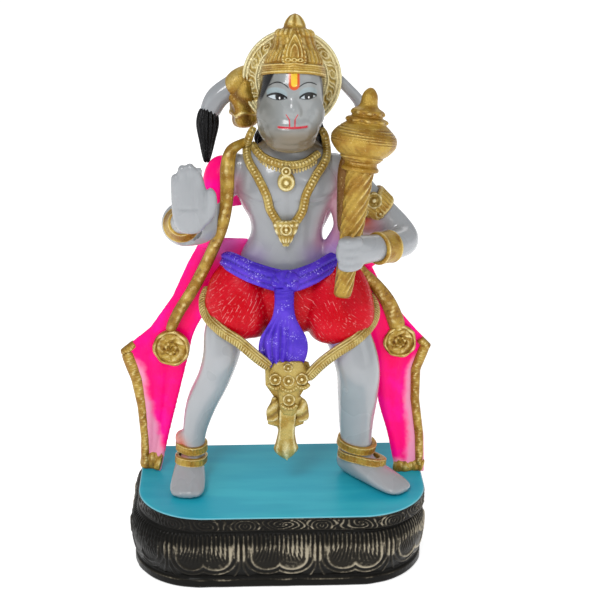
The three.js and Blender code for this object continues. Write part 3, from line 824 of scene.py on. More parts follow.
# %% Legs and feet
RIGHT_LEG = [
    (-19, 6, 110, 14, 14), (-31, 0, 92, 12, 12.5), (-34.8, -3.5, 76, 9.8, 10.4),
    (-39, -1, 62, 8.9, 9.4), (-46.4, 3.5, 44, 8.3, 9), (-50.5, 4.5, 27, 6.6, 7),
    (-51.4, 5, 13, 6.8, 7.6), (-51.8, 5, -3, 7.6, 9),
]
LEFT_LEG = [
    (24, 6, 108, 15, 14), (33, -3, 90, 12.6, 13), (39.2, -7, 71, 12, 11.8), (40, -2, 53, 11.2, 11),
    (39.8, 3, 36, 9.9, 9.8), (40, 4.5, 21, 8.8, 8.4), (40.6, 4, 11, 9.4, 9), (40, 4, 2.6, 7.6, 8),
]


def foot(heel, toe, ball):
    """A wedge from heel to toes: wide and low at the toes, with four shallow toe grooves."""
    heel, toe = np.array(heel, float), np.array(toe, float)
    stations = []
    for t, half_width, half_height in [
        (-0.04, 6.4, 6.6), (0.25, 0.84 * ball, 8.4), (0.55, 0.95 * ball, 6.2),
        (0.82, 1.0 * ball, 4.3), (1.04, 0.97 * ball, 3.0),
    ]:
        at = heel + t * (toe - heel)
        stations.append((at[0], at[1], half_height - 0.8, half_width, half_height))
    rows = limb(stations, 60, 60, UP, 4.0)
    way = unit(toe - heel)
    side = np.array([way[1], -way[0]])
    across = ((rows - heel)[..., :2] @ side) / ball
    forward = ((rows - heel)[..., :2] @ way[:2]) / np.linalg.norm(toe - heel)
    grooves = sum(ridge(across - edge, 0.07) for edge in (-0.42, -0.06, 0.26, 0.56))
    return raised(rows, -0.7 * grooves * smoothstep(forward, 0.78, 0.92))


leg_parts = [
    limb(RIGHT_LEG, 48, 90),
    limb(LEFT_LEG, 48, 90),
    foot((-52.8, 11, 0), (-54.6, -23.4, 0), 9.8),
    egg((-57.6, 5, 23.6), (3.8, 4, 4.8)),
    foot((32.6, 11, 0), (64, -21, 0), 9.4),
]
print("leg parts", len(leg_parts))

# %% Legs melted, with knees and calves
legs = melted("legs", [sewn(rows) for rows in leg_parts], 0.76, 11)
points, normals = read_mesh(legs)
x, y, z = points.T
swell = 0 * x
for x0, z0, wide, high, side_of, height in [
    (-34, 77, 7, 8, -1, 1.5), (-47, 50, 8, 13, 1, 1.5), (40.5, 70, 7.5, 8, -1, 1.5),
    (41, 44, 8, 14, 1, 1.4),
]:
    mound = np.exp(-(((x - x0) / wide) ** 2) - ((z - z0) / high) ** 2)
    swell = swell + height * mound * smoothstep(side_of * normals[:, 1], 0.0, 0.6)
write_mesh(legs, points + normals * swell[:, None])
print("legs", len(legs.polygons), "faces")

# %% [markdown]
# The painter's airbrush leaves a soft cloud where one colour was blown on past its edge. Noise
# would put clouds anywhere, but these follow shawl, sash and gold. So each point's distance from
# a few paths gives them: pink beside the shawl, violet by the sash and orange beside the gold.

# %% Overspray
blush_paths = [
    [(-27, 2, 172), (-25, 2, 164), (-22, 5, 154)],
    [(31, 2, 172), (28, 1, 160), (24, 0, 150), (21, 0, 140)],
    [(40, 0, 156), (44, 3, 149), (47, 3, 147)],
    [(30, 0, 160), (31, 0, 150), (31, 0, 140)],
    [(-44, 6, 100), (-46, 2, 78), (-51, 8, 60), (-58, 10, 40), (-59, 10, 26)],
    [(48, 2, 96), (54, 6, 80), (55, 10, 60)],
]
orange_paths = [
    [(-60, 5, 25), (-58, 2, 22), (-57, -1, 17)],
    [(42, 0, 158), (43, 2, 153), (43, 2, 149)],
]
haze_paths = [
    [(-22, -6, 137), (-17, -8, 132), (-28, 0, 135), (-26, 6, 138)],
    [(24, -6, 138), (17, -8, 133), (28, 0, 136), (26, 6, 140)],
    [(14, -12, 82), (20, -14, 86), (24, -14, 84)],
]


def airbrushed(mesh):
    """Keeps three layers: pink from the shawl, violet from the sash, orange from the gold."""
    points, _ = read_mesh(mesh)
    t = np.linspace(0, 1, 40)
    oversprays = [("blush", blush_paths, 5.5), ("haze", haze_paths, 6.5), ("orange", orange_paths, 4.0)]
    for name, paths, reach in oversprays:
        clouds = [nearness(points, curve(path, t), reach) for path in paths]
        keep_layer(mesh, name, np.clip(sum(clouds), 0, 1))


airbrushed(upper_body)
airbrushed(legs)
print("layers on the legs:", [layer.name for layer in legs.attributes if layer.data_type == "FLOAT"])

# %% [markdown]
# The resin is a clear gloss over a white that lets a little light in. Plain white would look like
# plaster. Shade is also painted into its colour: greyer above the belt, where more of the lamps' light
# falls; darker and a little greener over the face; warm and dark under the chin, a painted shade with
# the gold's light thrown back; and darker on the cheek that is turned from the light.

# %% White resin
white = Finish(
    "white_resin",
    {
        "Coat Weight": 0.5,
        "Coat Roughness": 0.05,
        "Subsurface Weight": 0.12,
        "Subsurface Radius": (0.004, 0.003, 0.003),
        "Subsurface Scale": 1.0,
    },
)
x, y, z, at = white.place()
clouds = white.noise(at, 30.0)
resin = white.mix(clouds.step(0.3, 0.7), tint(157, 161, 165), tint(170, 173, 177))
# painted shade: the resin is greyer above the belt, where more of the lamps' light falls
resin = white.mix(z.step(112.0, 150.0) * 0.5, resin, tint(148, 151, 155))
by_head = abs(x - 4.0).step(22.0, 16.0)
# painted shade under the chin, warm with the light the gold throws back
chin_painted_shade = z.step(207.0, 199.0) * z.step(186.0, 191.0) * by_head
shaded_cheek = x.step(3.0, -11.0) * z.step(194.0, 200.0) * by_head
# painted shade: the whole face is a little darker and greener
resin = white.mix(z.step(194.0, 200.0) * by_head * 0.3, resin, tint(140, 146, 138))
resin = white.mix(chin_painted_shade * 0.95, resin, tint(116, 103, 80))
resin = white.mix(shaded_cheek * 0.75, resin, tint(100, 99, 90))
resin = white.mix(white.layer("blush") * 0.42, resin, tint(222, 84, 130))
resin = white.mix(white.layer("haze") * 0.7, resin, tint(160, 108, 200))
resin = white.mix(white.layer("orange") * 0.75, resin, tint(224, 92, 36))
on_face = y.step(-2.0, -5.0)
print("resin mixed with", len(white.tree.nodes), "nodes")

# %% [markdown]
# The face is painted by hand with a fine brush. A painted picture could be wrapped round the head,
# but a mask stays sharp at any distance. Each mark is one, over x and z on the front of the head:
# an almond is the space between two parabolas, a brow is a thin band along one.

# %% Brush marks


def band(x, z, x0, z0, bend, half_length, half_width):
    """A thin line along z = z0 - bend (x - x0)², of a length and a width."""
    from_line = abs(z - z0 + (x - x0) * (x - x0) * bend)
    return from_line.step(half_width, 0.45 * half_width) * abs(x - x0).step(
        half_length, 0.85 * half_length
    )


def stroke(x, z, start, end, half_width):
    """A straight stroke of the brush that leans from start to end."""
    (x0, z0), (x1, z1) = start, end
    lean = (x1 - x0) / (z1 - z0)
    from_line = abs(x - x0 - (z - z0) * lean)
    middle, half = (z0 + z1) / 2, abs(z1 - z0) / 2
    return from_line.step(half_width, 0.45 * half_width) * abs(z - middle).step(half + 0.3, half)


def disc(x, z, x0, z0, wide, high):
    """1 inside an oval, 0 outside."""
    across, up = (x - x0) / wide, (z - z0) / high
    return (across * across + up * up).step(1.25, 0.75)


def drop(x, z, x0, z0, radius):
    """1 inside a mark with a round foot at z0 and straight sides above it."""
    down, across = (z - z0).least(0.0), x - x0
    return ((across * across + down * down) / (radius * radius)).step(1.2, 0.8)


LID, EYE_WHITE, EYE_PAINTED_HIGHLIGHT = tint(150, 182, 194), tint(196, 206, 212), tint(250, 250, 250)
INK, LIP, ORANGE, YELLOW = tint(5, 6, 9), tint(196, 8, 40), tint(214, 84, 20), tint(240, 196, 40)
print("ink is", [round(part, 4) for part in INK[:3]])

# %% An eye


def eye(colour, x, z, inner, outer, level, iris_at):
    """Blue lid paint, almond, lash line, iris and a painted highlight on it, laid over a colour."""
    middle, half = (inner + outer) / 2, abs(outer - inner) / 2
    centred = x - middle
    arch = (centred * centred) / (half * half)
    upper = (1.0 - arch) * 1.9 + level
    lower = (arch - 1.0) * 1.1 + level
    inside = (upper - z).step(-0.1, 0.25) * (z - lower).step(-0.1, 0.25)
    colour = white.mix(disc(x, z, middle, level + 2.0, 1.02 * half, 3.0) * 0.4, colour, LID)
    colour = white.mix(inside, colour, EYE_WHITE)
    colour = white.mix(disc(x, z, iris_at, level + 0.5, 2.3, 2.6) * inside, colour, INK)
    lash = abs(z - upper).step(0.75, 0.4) * abs(centred).step(1.06 * half, 0.96 * half)
    under = abs(z - lower).step(0.3, 0.12) * abs(centred).step(1.06 * half, 0.9 * half)
    colour = white.mix(lash.most(under * 0.75), colour, INK)
    # a painted highlight on the iris
    return white.mix(disc(x, z, iris_at - 0.1, level - 0.1, 0.38, 0.6), colour, EYE_PAINTED_HIGHLIGHT)


face = eye(resin, x, z, 1.4, -8.8, 219.3, -2.3)
face = eye(face, x, z, 7.6, 16.6, 219.3, 12.5)
print("with both eyes", len(white.tree.nodes), "nodes")

# %% The face's marks, one over another
brows = band(x, z, -2.9, 226.9, 0.1, 5.4, 0.42).most(band(x, z, 12.0, 226.6, 0.09, 5.0, 0.38))
face = white.mix(brows, face, INK)
mark_top = z.step(231.6, 231.0)
face = white.mix(drop(x, z, 5.0, 226.0, 2.8) * mark_top, face, ORANGE)
face = white.mix(drop(x, z, 5.0, 226.4, 1.6) * mark_top, face, YELLOW)
lips = band(x, z, 4.1, 204.9, -0.004, 8.2, 0.8)
philtrum = stroke(x, z, (2.5, 205.0), (2.4, 208.9), 0.5).most(
    stroke(x, z, (5.1, 205.0), (5.3, 208.9), 0.5)
)
nostrils = stroke(x, z, (2.4, 208.8), (0.8, 211.4), 0.36).most(
    stroke(x, z, (5.3, 208.8), (6.7, 211.4), 0.36)
)
face = white.mix(lips.most(philtrum).most(nostrils), face, LIP)
skin = white.mix(on_face * z.step(195.0, 198.0), resin, face)
print("face painted with", len(white.tree.nodes), "nodes")

# %% [markdown]
# Painted hair runs down both temples and the nape, and the tail's end is black. Ink takes a duller
# gloss than resin, so the clear coat is thinned there and over the eyes.

# %% Painted hair and gloss
left_hair = (z * 0.46 - x - 111.0).step(-0.4, 0.6)
right_hair = (x + z * 0.14 - 50.0).step(-0.4, 0.6)
side_hair = left_hair.most(right_hair) * z.step(214.0, 219.0)
nape = (y + z * 0.4).step(91.2, 92.6) * z.step(204.0, 207.0) * y.step(22.0, 20.5)
near_skull = abs(x - 4.4).step(19.0, 18.0)
head_hair = side_hair.most(nape) * near_skull
skin = white.mix(head_hair, skin, INK)
eyes = disc(x, z, -3.7, 219.3, 5.6, 2.6).most(disc(x, z, 12.1, 219.3, 5.0, 2.6)) * on_face
white.coat(0.5 - head_hair.most(eyes) * 0.46)
tail_end = (z + x * 0.4).step(190.0, 186.0) * x.step(-34.0, -36.0) * y.step(17.0, 20.0)
white.colour(white.mix(tail_end, skin, INK))
white.rough(0.22 + clouds * 0.1)
white.bump(white.noise(at, 3.0, 2.0), 0.08, 0.4)
hand_over(upper_body, white)
hand_over(legs, white)

# %% [markdown]
# ## Hair and tuft
# Black enamel over grooves: a mass of hair behind the neck, and the tuft that ends the tail.
# Strands of hair could be grown, but a casting has none: a comb is drawn through the clay. So both
# are limbs with waves pressed round them.

# %% Hair and the tail's tuft
hair_rows = limb(
    [(4.6, 9.5, 226, 13, 9), (4.4, 11, 212, 14.5, 9), (4.4, 13.6, 200, 16, 8), (4, 17, 187, 23, 7)],
    130,
    80,
)
a, v = grid_of(hair_rows)
locks = np.cos(26 * a + 2.2 * np.sin(5 * v)) * smoothstep(v, 0.4, 0.7)
hair = carved(hair_rows, 0.5 * locks, 0.5 + 0.5 * locks)
tuft_rows = limb(
    [
        (-39.4, 24.4, 206, 5), (-40, 22.6, 198, 5.8), (-40.3, 19, 189, 3.8),
        (-40.6, 13.5, 180, 1.5),
    ],
    96,
    90,
    blunt=8,
)
a, v = grid_of(tuft_rows)
hairs = np.cos(15 * a + 3 * v)
tuft = carved(tuft_rows, 0.35 * hairs, 0.5 + 0.5 * hairs)
lay_out("hair_and_tuft", [hair, tuft], black)

# %% [markdown]
# ## Crown
# The crown is a turned cone: a rolled band, a body of upright ribs, a frilled rim and a bud. A
# pointed plaque stands in front of it. Each rib could be its own piece, but a carver cuts them
# into one blank, so ribs and frills are waves round the axis.

# %% Crown
CROWN_FOOT, CROWN_TIP = np.array([5.1, 6.3, 226.2]), np.array([6.2, 11.8, 258.0])
crown_length = np.linalg.norm(CROWN_TIP - CROWN_FOOT)
crown_profile = np.array(
    [
        (0.02, -0.03), (0.46, -0.03), (0.505, 0.0), (0.5, 0.06), (0.495, 0.13), (0.465, 0.16),
        (0.45, 0.24), (0.396, 0.375), (0.34, 0.5), (0.32, 0.6), (0.31, 0.66), (0.29, 0.71),
        (0.22, 0.755), (0.18, 0.785), (0.15, 0.83), (0.132, 0.87), (0.11, 0.905), (0.075, 0.947),
        (0.04, 0.985), (0.01, 1.0),
    ]
)
print("crown is", round(crown_length, 1), "shares high")

# %% Crown's carving
rows, _, height, angle = turned(
    crown_profile * crown_length, CROWN_FOOT, CROWN_TIP - CROWN_FOOT, 320, 250, soft=True
)
level, a = height[:, None] / crown_length, angle[None, :]
ribs = np.abs(np.cos(17 * a + 0.4 * np.sin(9 * level))) * between(level, 0.15, 0.2, 0.38, 0.48)
leaves = np.abs(np.cos(8 * a + 5 * level)) * between(level, 0.4, 0.48, 0.6, 0.68)
frill = np.abs(np.cos(10 * a + 3 * level)) * between(level, 0.64, 0.68, 0.73, 0.77)
bud = np.abs(np.cos(3 * a + 2 * level)) * between(level, 0.78, 0.83, 0.94, 1.0)
lines = ridge(level - 0.01, 0.014) + ridge(level - 0.125, 0.014)
lines = lines + 0.7 * ridge(level - 0.05, 0.009) + 0.7 * ridge(level - 0.085, 0.009)
above_band = smoothstep(level, 0.14, 0.165)
carving = 0.95 * ribs + 0.7 * leaves + 1.1 * frill + 0.7 * bud + 0.45 * lines
carving = carving - 0.35 * above_band * smoothstep(level, 0.8, 0.7)
tone = 0.36 * above_band + 0.42 * (1 - above_band) + 0.42 * ribs + 0.4 * leaves + 0.5 * frill
rows = raised(rows, carving)
lifted = (0.5 + 0.5 * np.cos(a)) ** 1.5 * smoothstep(level, 0.6, 0.0)
peak = ridge(a - 2 * np.pi * (a > np.pi), 0.12) * ridge(level - 0.12, 0.03)
rows[..., 2] += 3.3 * lifted + 0.8 * peak
crown_parts = [sewn(rows, np.clip(tone + 0.6 * bud + 0.5 * lines, 0, 1))]
print("crown's carving", round(float(np.ptp(carving)), 2), "shares deep")

# %% Crown's plaque
PLAQUE = [
    (5, -8.4, 236.6, 6.6, 1.9), (5.2, -7.2, 241, 6.0, 1.9), (5.5, -4.4, 246, 3.8, 1.8),
    (5.7, -0.6, 252, 0.9, 1.4),
]
rows = limb(PLAQUE, 140, 120, blunt=12)
a, rise = grid_of(rows)
side = np.cos(a)
face_on = smoothstep(np.sin(a), 0.0, 0.35)
border = ridge(np.abs(side) - 0.86, 0.1) * (0.75 + 0.25 * np.cos(60 * rise))
arch = ridge(np.hypot(side / 0.6, np.maximum(rise - 0.42, 0) / 0.3) - 1, 0.14)
inner = ridge(np.hypot(side / 0.3, np.maximum(rise - 0.4, 0) / 0.14) - 1, 0.2)
above = smoothstep(rise, 0.26, 0.32)
dots = sum(
    ridge(np.hypot((side - s) / 0.17, (rise - 0.19) / 0.06) - 1, 0.42) for s in (-0.48, 0.0, 0.48)
)
pattern = face_on * np.clip(border + above * (arch + inner) + dots, 0, 1.2)
crown_parts.append(carved(rows, 0.8 * pattern, 0.34 + 0.6 * pattern))
lay_out("crown", crown_parts, amber)

# %% [markdown]
# ## Halo
# A thin disc behind the head. Its rim is rolled, a beaded ring runs inside, and leaves curl
# between the two. A bump in the paint would look flat from the side, so the relief is real: a
# function of radius and angle, on the disc's front alone.

# %% Halo
HALO_RADIUS, HALO_THICKNESS = 26.2, 2.6
half = HALO_THICKNESS / 2
halo_profile = [
    (0.05, -half), (HALO_RADIUS - 0.6, -half), (HALO_RADIUS, -half + 0.6),
    (HALO_RADIUS, half - 0.2), (HALO_RADIUS - 0.6, half + 0.3), (0.05, half),
]
rows, radius, height, angle = turned(halo_profile, (4.8, 22.2, 222), (0, -1, 0.1), 420, 150, UP)
share_out = (radius / HALO_RADIUS)[:, None]
front_side = smoothstep(height[:, None], 0.4 * half, 0.9 * half)
ring = ridge(share_out - 0.965, 0.022) + ridge(share_out - 0.72, 0.02)
ring = ring + 0.7 * ridge(share_out - 0.9, 0.012)
leaf = (share_out - 0.72) / 0.18
inside = between(share_out, 0.73, 0.75, 0.87, 0.89)
turns = 12 * angle[None, :] / (2 * np.pi) + 0.55 * leaf + 0.08 * np.sin(2 * np.pi * leaf)
across_leaf = turns % 1.0 - 0.5
stems = ridge(np.abs(across_leaf) - 0.42, 0.05)
curl = ridge(np.hypot((leaf - 0.52) / 0.3, across_leaf / 0.2) - 1, 0.26)
scroll = np.clip(stems + curl + 0.8 * ridge(np.hypot(leaf - 0.55, across_leaf), 0.09), 0, 1) * inside
beads = np.abs(np.cos(46 * angle[None, :])) * ridge(share_out - 0.665, 0.024)
net = np.abs(np.sin(30 * angle[None, :]) * np.sin(18 * np.pi * share_out))
net = net * smoothstep(share_out, 0.62, 0.58)
carving = front_side * (0.6 * ring + 0.4 * (scroll - 0.5 * inside) + 0.5 * beads + 0.3 * net)
halo_tone = 0.8 + front_side * (0.3 * ring + 0.4 * scroll - 0.26 * inside + 0.25 * beads + 0.15 * net)
lay_out("halo", [carved(rows, carving, halo_tone)], pale)

# %% [markdown]
# ## Mace
# The head of the mace is turned: a ball with fine rings, under a stepped spire. The shaft below
# it is fluted, and the flutes wind round it as its height grows. One profile could make both, but
# flutes need many points round them and the head few, so there are two. A web of brown resin
# fills the gap behind the shaft, as the mould left it.

# %% Mace's head
MACE_FOOT, MACE_TIP = np.array([29.2, -26, 117.2]), np.array([44.2, -8, 223.5])
mace_length = np.linalg.norm(MACE_TIP - MACE_FOOT)
bulb, level0 = 17.2, 0.755 * mace_length
mace_profile = [
    (0.05, level0 - 17), (0.5 * bulb, level0 - 16), (0.56 * bulb, level0 - 14.4),
    (0.5 * bulb, level0 - 13), (0.5 * bulb, level0 - 11.4), (0.62 * bulb, level0 - 9.6),
    (0.66 * bulb, level0 - 8.2), (0.78 * bulb, level0 - 6.6), (0.92 * bulb, level0 - 3.8),
    (0.98 * bulb, level0 - 1.6), (0.98 * bulb, level0 + 1.6), (0.88 * bulb, level0 + 4.4),
    (0.7 * bulb, level0 + 7.2), (0.6 * bulb, level0 + 8.6), (0.63 * bulb, level0 + 9.8),
    (0.6 * bulb, level0 + 11), (0.47 * bulb, level0 + 12), (0.5 * bulb, level0 + 13.6),
    (0.47 * bulb, level0 + 15.2), (0.33 * bulb, level0 + 16.6), (0.27 * bulb, level0 + 18),
    (0.25 * bulb, level0 + 20), (0.24 * bulb, level0 + 22), (0.2 * bulb, level0 + 24),
    (0.13 * bulb, level0 + 25.6), (0.08 * bulb, level0 + 26.3), (0.04 * bulb, mace_length),
    (0.005, mace_length),
]
rows, _, height, angle = turned(
    mace_profile, MACE_FOOT, MACE_TIP - MACE_FOOT, 120, 320, soft=True
)
level = height[:, None] - level0
worn = 0.6 + 0.4 * np.sin(3 * angle[None, :] + 0.9 * level)
fine_rings = np.cos(2 * np.pi * level / 1.35) * between(level, -2, -1, 6.4, 7.4)
low_rings = np.cos(2 * np.pi * level / 1.5) * between(level, -13, -12, -8, -7)
ruffle = np.cos(9 * angle[None, :]) * (ridge(level - 9.8, 0.9) + ridge(level - 13.8, 0.9))
marks = (fine_rings + low_rings) * worn
head_tone = 0.5 + 0.3 * marks + 0.3 * ruffle
head_part = carved(rows, 0.15 * marks + 0.5 * ruffle, head_tone)
print("mace is", round(mace_length, 1), "shares long")

# %% Mace's shaft and web
handle_top = level0 - 13
shaft_profile = [
    (0.05, 0), (3.6, 0.2), (4.5, 1.4), (4.9, 16), (5.8, 36), (7.2, handle_top),
    (0.05, handle_top + 1),
]
rows, _, height, angle = turned(shaft_profile, MACE_FOOT, MACE_TIP - MACE_FOOT, 180, 320)
h, a = height[:, None], angle[None, :]
turns = 10 * (a - 0.1 * h)
flutes = 0.5 + 0.5 * np.cos(turns)
worn = (0.35 + 0.65 * smoothstep(np.sin(a - 0.2), -0.5, 0.4)) * smoothstep(h, 1, 5)
shaft_tone = 0.42 + 0.5 * (flutes**2 - 0.2) * worn
shaft_part = carved(rows, (0.75 * flutes**2 - 0.3) * worn, shaft_tone)
web_rows = limb(
    [(35, -11, 194, 4, 4), (32, -12.4, 182, 4.6, 4), (31, -14.4, 168, 4.2, 4), (30, -18, 150, 3.6, 4)],
    32,
    60,
)
lay_out("mace", [head_part, shaft_part, sewn(web_rows, 0.14)], amber)

# %% [markdown]
# ## Jewels
# Necklace and garland are flat cords laid on the chest, cast as rows of beads between two thin
# rails. They could be hundreds of small balls, but cast beads have no gaps behind them. So relief
# along a cord depends on how far round its section and how far along it a point is.

# %% Laying things on the chest
body_points, _ = read_mesh(upper_body)
body_front = body_points[body_points[:, 1] < 14]


def on_body(path, lift=0.6, steps=48):
    """Points [x, z] of a jewel laid on the body: the frontmost skin close to each, evened out."""
    path = curve(np.array(path, float), np.linspace(0, 1, steps))
    close = np.abs(body_front[None, :, 0] - path[:, :1]) < 1.2
    close &= np.abs(body_front[None, :, 2] - path[:, 1:]) < 1.2
    y = np.where(close, body_front[None, :, 1], np.inf).min(axis=1)
    y = np.minimum(y, 14.0)
    even = np.convolve(np.pad(y, 3, mode="edge"), np.ones(7) / 7, mode="valid")
    return np.stack([path[:, 0], even - lift, path[:, 1]], -1)


print("skin to lay jewels on:", len(body_front), "points")

# %% Beaded cords


def beaded(path, half_width, half_depth, pitch, along, height=0.55, across=36, front=(0, -1, 0.2)):
    """A cord with two rails along its edges and a row of beads, one every pitch shares."""
    rows = cord(path, half_width, half_depth, across, along, front)
    place, (a, _) = arc_length(rows)[:, None], grid_of(rows)
    side, face = np.cos(a), smoothstep(np.sin(a), 0.1, 0.5)
    beads = np.abs(np.cos(np.pi * place / pitch)) * ridge(side, 0.42)
    rails = ridge(np.abs(side) - 0.78, 0.13)
    pattern = face * (1.1 * beads + 0.7 * rails - 0.35)
    return carved(rows, height * pattern, 0.45 + 0.6 * pattern)


NECKLACE = [(-16.5, 190.6), (-10, 186), (0.4, 183), (10.4, 183.6), (18.4, 187.6)]
GARLAND = [
    (-19.2, 193), (-18.9, 185), (-13.8, 176.6), (-9.4, 167.6), (-6.8, 158), (0.7, 148.6),
    (8.6, 157), (11.4, 168), (16.4, 177), (22, 184.6), (22.4, 192),
]
print("garland reaches down to", min(z for _, z in GARLAND), "shares")

# %% Round buttons


def boss(centre, radius, depth, petals=0, axis=(0, -1, 0.12), across=64, along=44):
    """A round button: a dish with a rolled rim and a bead in the middle, or petals round it."""
    profile = [
        (0.02, -1.2), (radius, -1.2), (radius, 0.35 * depth), (0.86 * radius, 0.72 * depth),
        (0.68 * radius, 0.5 * depth), (0.48 * radius, 0.42 * depth), (0.4 * radius, 0.9 * depth),
        (0.2 * radius, 1.35 * depth), (0.02, 1.45 * depth),
    ]
    rows, r, _, a = turned(profile, centre, axis, across, along, UP)
    out = (r / radius)[:, None]
    wave = np.abs(np.cos(0.5 * petals * a))[None, :] * smoothstep(out, 0.42, 0.7)
    tone = 0.35 + 0.5 * ridge(out - 0.86, 0.12) + 0.6 * smoothstep(out, 0.4, 0.2)
    return carved(rows, 0.14 * radius * (wave - 0.5 * (petals > 0)), tone)


print("a boss of", len(boss((0, 0, 0), 1.0, 1.0)[0]), "points")

# %% Necklace and garland laid out
pendant_rows = limb(
    [(0.7, -8.4, 153.4, 7.4, 2.2), (0.7, -8, 147.6, 5.6, 2.4), (0.6, -7.4, 140, 1.5, 1.5)],
    72,
    60,
    blunt=9,
)
a, v = grid_of(pendant_rows)
bumps = np.abs(np.cos(2.4 * np.pi * np.cos(a)) * np.cos(4.2 * np.pi * v))
bumps = bumps * smoothstep(np.sin(a), 0.1, 0.5)
garland = np.vstack(
    [
        [(-15.4, 4.5, 200.5), (-17.6, 3.4, 196.6)],
        on_body(GARLAND)[2:-2],
        [(21.4, 4.2, 195.6), (19.4, 5.2, 199.6)],
    ]
)
necklace = on_body(NECKLACE)
fringe = [
    sewn(egg(point + np.array([0.0, -0.5, -3.4]), (0.8, 0.8, 1.7), 14, 10), 0.75)
    for point in curve(necklace, np.linspace(0.06, 0.94, 22))
]
jewel_parts = [
    beaded(necklace, 2.3, 1.5, 1.8, 240),
    beaded(garland, 2.4, 1.7, 1.9, 660),
    carved(pendant_rows, 0.7 * bumps, 0.35 + 0.65 * bumps),
    sewn(egg((0.9, -8.2, 174.8), (4.6, 2.4, 5.2), 48, 40), 0.45),
    boss((0.9, -10.0, 174.6), 4.0, 1.2),
    boss((0.7, -10.2, 149.4), 3.0, 1.1),
    boss((0.8, -9.4, 180.6), 2.4, 1.2),
    *fringe,
]
lay_out("necklace_and_garland", jewel_parts, pale)

# %% [markdown]
# Bracelets, the armlet and the anklets are flat rings with a rolled edge at each side. The section
# is a slot, and it is carried round an oval. A plain oval would stand off the skin at the heel and
# sink into it at the instep, so most of the rings take their radii from the skin.

# %% Rings on arms and ankles


def looped(rows, relief):
    """Rings that follow one another back to the first, so that there are no ends to close."""
    n, m, _ = rows.shape

    def at(ring, step):
        """The number of a point; past the last ring or step it counts on from the first."""
        return (ring % n) * m + step % m

    i, j = np.arange(n)[:, None], np.arange(m)[None, :]
    quads = np.stack([at(i, j), at(i, j + 1), at(i + 1, j + 1), at(i + 1, j)], -1).reshape(-1, 4)
    points, no_fans = rows.reshape(-1, 3), np.empty((0, 3), int)
    if six_volumes(points, quads, no_fans) < 0:
        quads = quads[:, ::-1]
    return points, quads, no_fans, np.asarray(relief).ravel()


def hoop(centre, axis, half_width, half_depth, height, notch=0.0, across=140, along=48, flare=0.0):
    """A cuff: an oval carried round by a squarish section, with rolled edges and a flat face.

    The section is cos(s) raised to 0.55 along the arm and sin(s) raised to 0.4 away from it. A
    flare makes the cuff a cone: its radius shrinks along the axis by that share of itself.
    """
    s = circle(along)
    level = np.sign(np.cos(s)) * np.abs(np.cos(s)) ** 0.55
    lift = np.sign(np.sin(s)) * np.abs(np.sin(s)) ** 0.4
    rolled = ridge(np.abs(level) - 0.82, 0.13) * (np.sin(s) > 0)
    radius = 0.88 + 0.12 * lift + 0.05 * rolled - flare * level
    y = unit(np.asarray(axis, float))
    z = unit(FRONT - (FRONT @ y) * y)
    x = np.cross(y, z)
    a = circle(across)
    wave = np.abs(np.cos(14 * a))[:, None] * (np.abs(level) < 0.7) * (np.sin(s) > 0)
    radius = radius[None, :] + 0.06 * notch * wave
    ring = np.sin(a)[:, None] * x * half_width + np.cos(a)[:, None] * z * half_depth
    along_arm = 0.5 * height * level[:, None] * y
    rows = np.asarray(centre, float) + radius[..., None] * ring[:, None] + along_arm[None]
    tone = 0.42 + 0.45 * rolled[None, :] + 0.3 * notch * wave
    return looped(rows, np.broadcast_to(tone, (across, along)))


print("a ring of radius 1 has", len(hoop((0, 0, 0), UP, 1, 1, 1)[0]), "points")

# %% Rings that follow the skin


def snug(skin, centre, axis, lift, across=140):
    """The radii of a hoop that follows the skin round a centre, lift outside it.

    Of the skin's points close to the hoop's plane, the furthest near each turn counts, and the
    radii are evened out over 15 neighbours.
    """
    y = unit(np.asarray(axis, float))
    z = unit(FRONT - (FRONT @ y) * y)
    offset = skin - np.asarray(centre, float)
    offset = offset[(np.abs(offset @ y) < 1.2) & (np.linalg.norm(offset, axis=1) < 22)]
    front, side = offset @ z, offset @ np.cross(y, z)
    a = circle(across)[:, None]
    gap = np.abs((np.arctan2(side, front)[None] - a + np.pi) % (2 * np.pi) - np.pi)
    reach = np.where(gap < 0.1, np.hypot(front, side)[None], 0).max(axis=1)
    even = np.convolve(np.pad(reach, 7, mode="wrap"), np.ones(15) / 15, mode="valid")
    return (even + lift)[:, None]


leg_points, _ = read_mesh(legs)
anklets = []
for centre, axis, height, lift in [
    ((-51.4, 4.6, 18.8), (0.0, -0.06, 1), 5.0, 1.2),
    ((-53, 3.4, 12.2), (0.08, 0.14, 1), 4.6, 1.0),
    ((39.8, 4.4, 19.4), (0.2, -0.1, 1), 4.8, 1.4),
    ((41, 2.6, 12.2), (0.14, 0.14, 1), 4.6, 1.0),
]:
    radii = snug(leg_points, centre, axis, lift)
    anklets.append(hoop(centre, axis, radii, radii, height, 0.6))
WRIST = (-53.8, -11.4, 153.2), (0.06, -0.9, 0.4)
radii = snug(body_points, *WRIST, 1.0)
band_parts = [
    hoop(*WRIST, radii, radii, 8.6, flare=0.2),
    hoop((48.4, 11.6, 156), (0.68, 0.05, -0.73), 9.6, 9.6, 11, 1.0),
    hoop((51.8, -13.8, 140.2), (0.72, 0.68, -0.12), 8.4, 8.6, 12),
]
lay_out("bracelets_and_anklets", band_parts + anklets, amber)
armlet_flowers = [
    boss((47.4, 2.4, 161), 4.4, 1.6, 6, (0.1, -1, 0.2)),
    boss((50.8, 2.8, 153.6), 2.6, 1.3, 5, (0.1, -1, 0.1)),
    boss((42.4, 3.4, 154.4), 2.6, 1.3, 5, (-0.2, -1, 0.1)),
]
lay_out("armlet_flowers", armlet_flowers, pale)

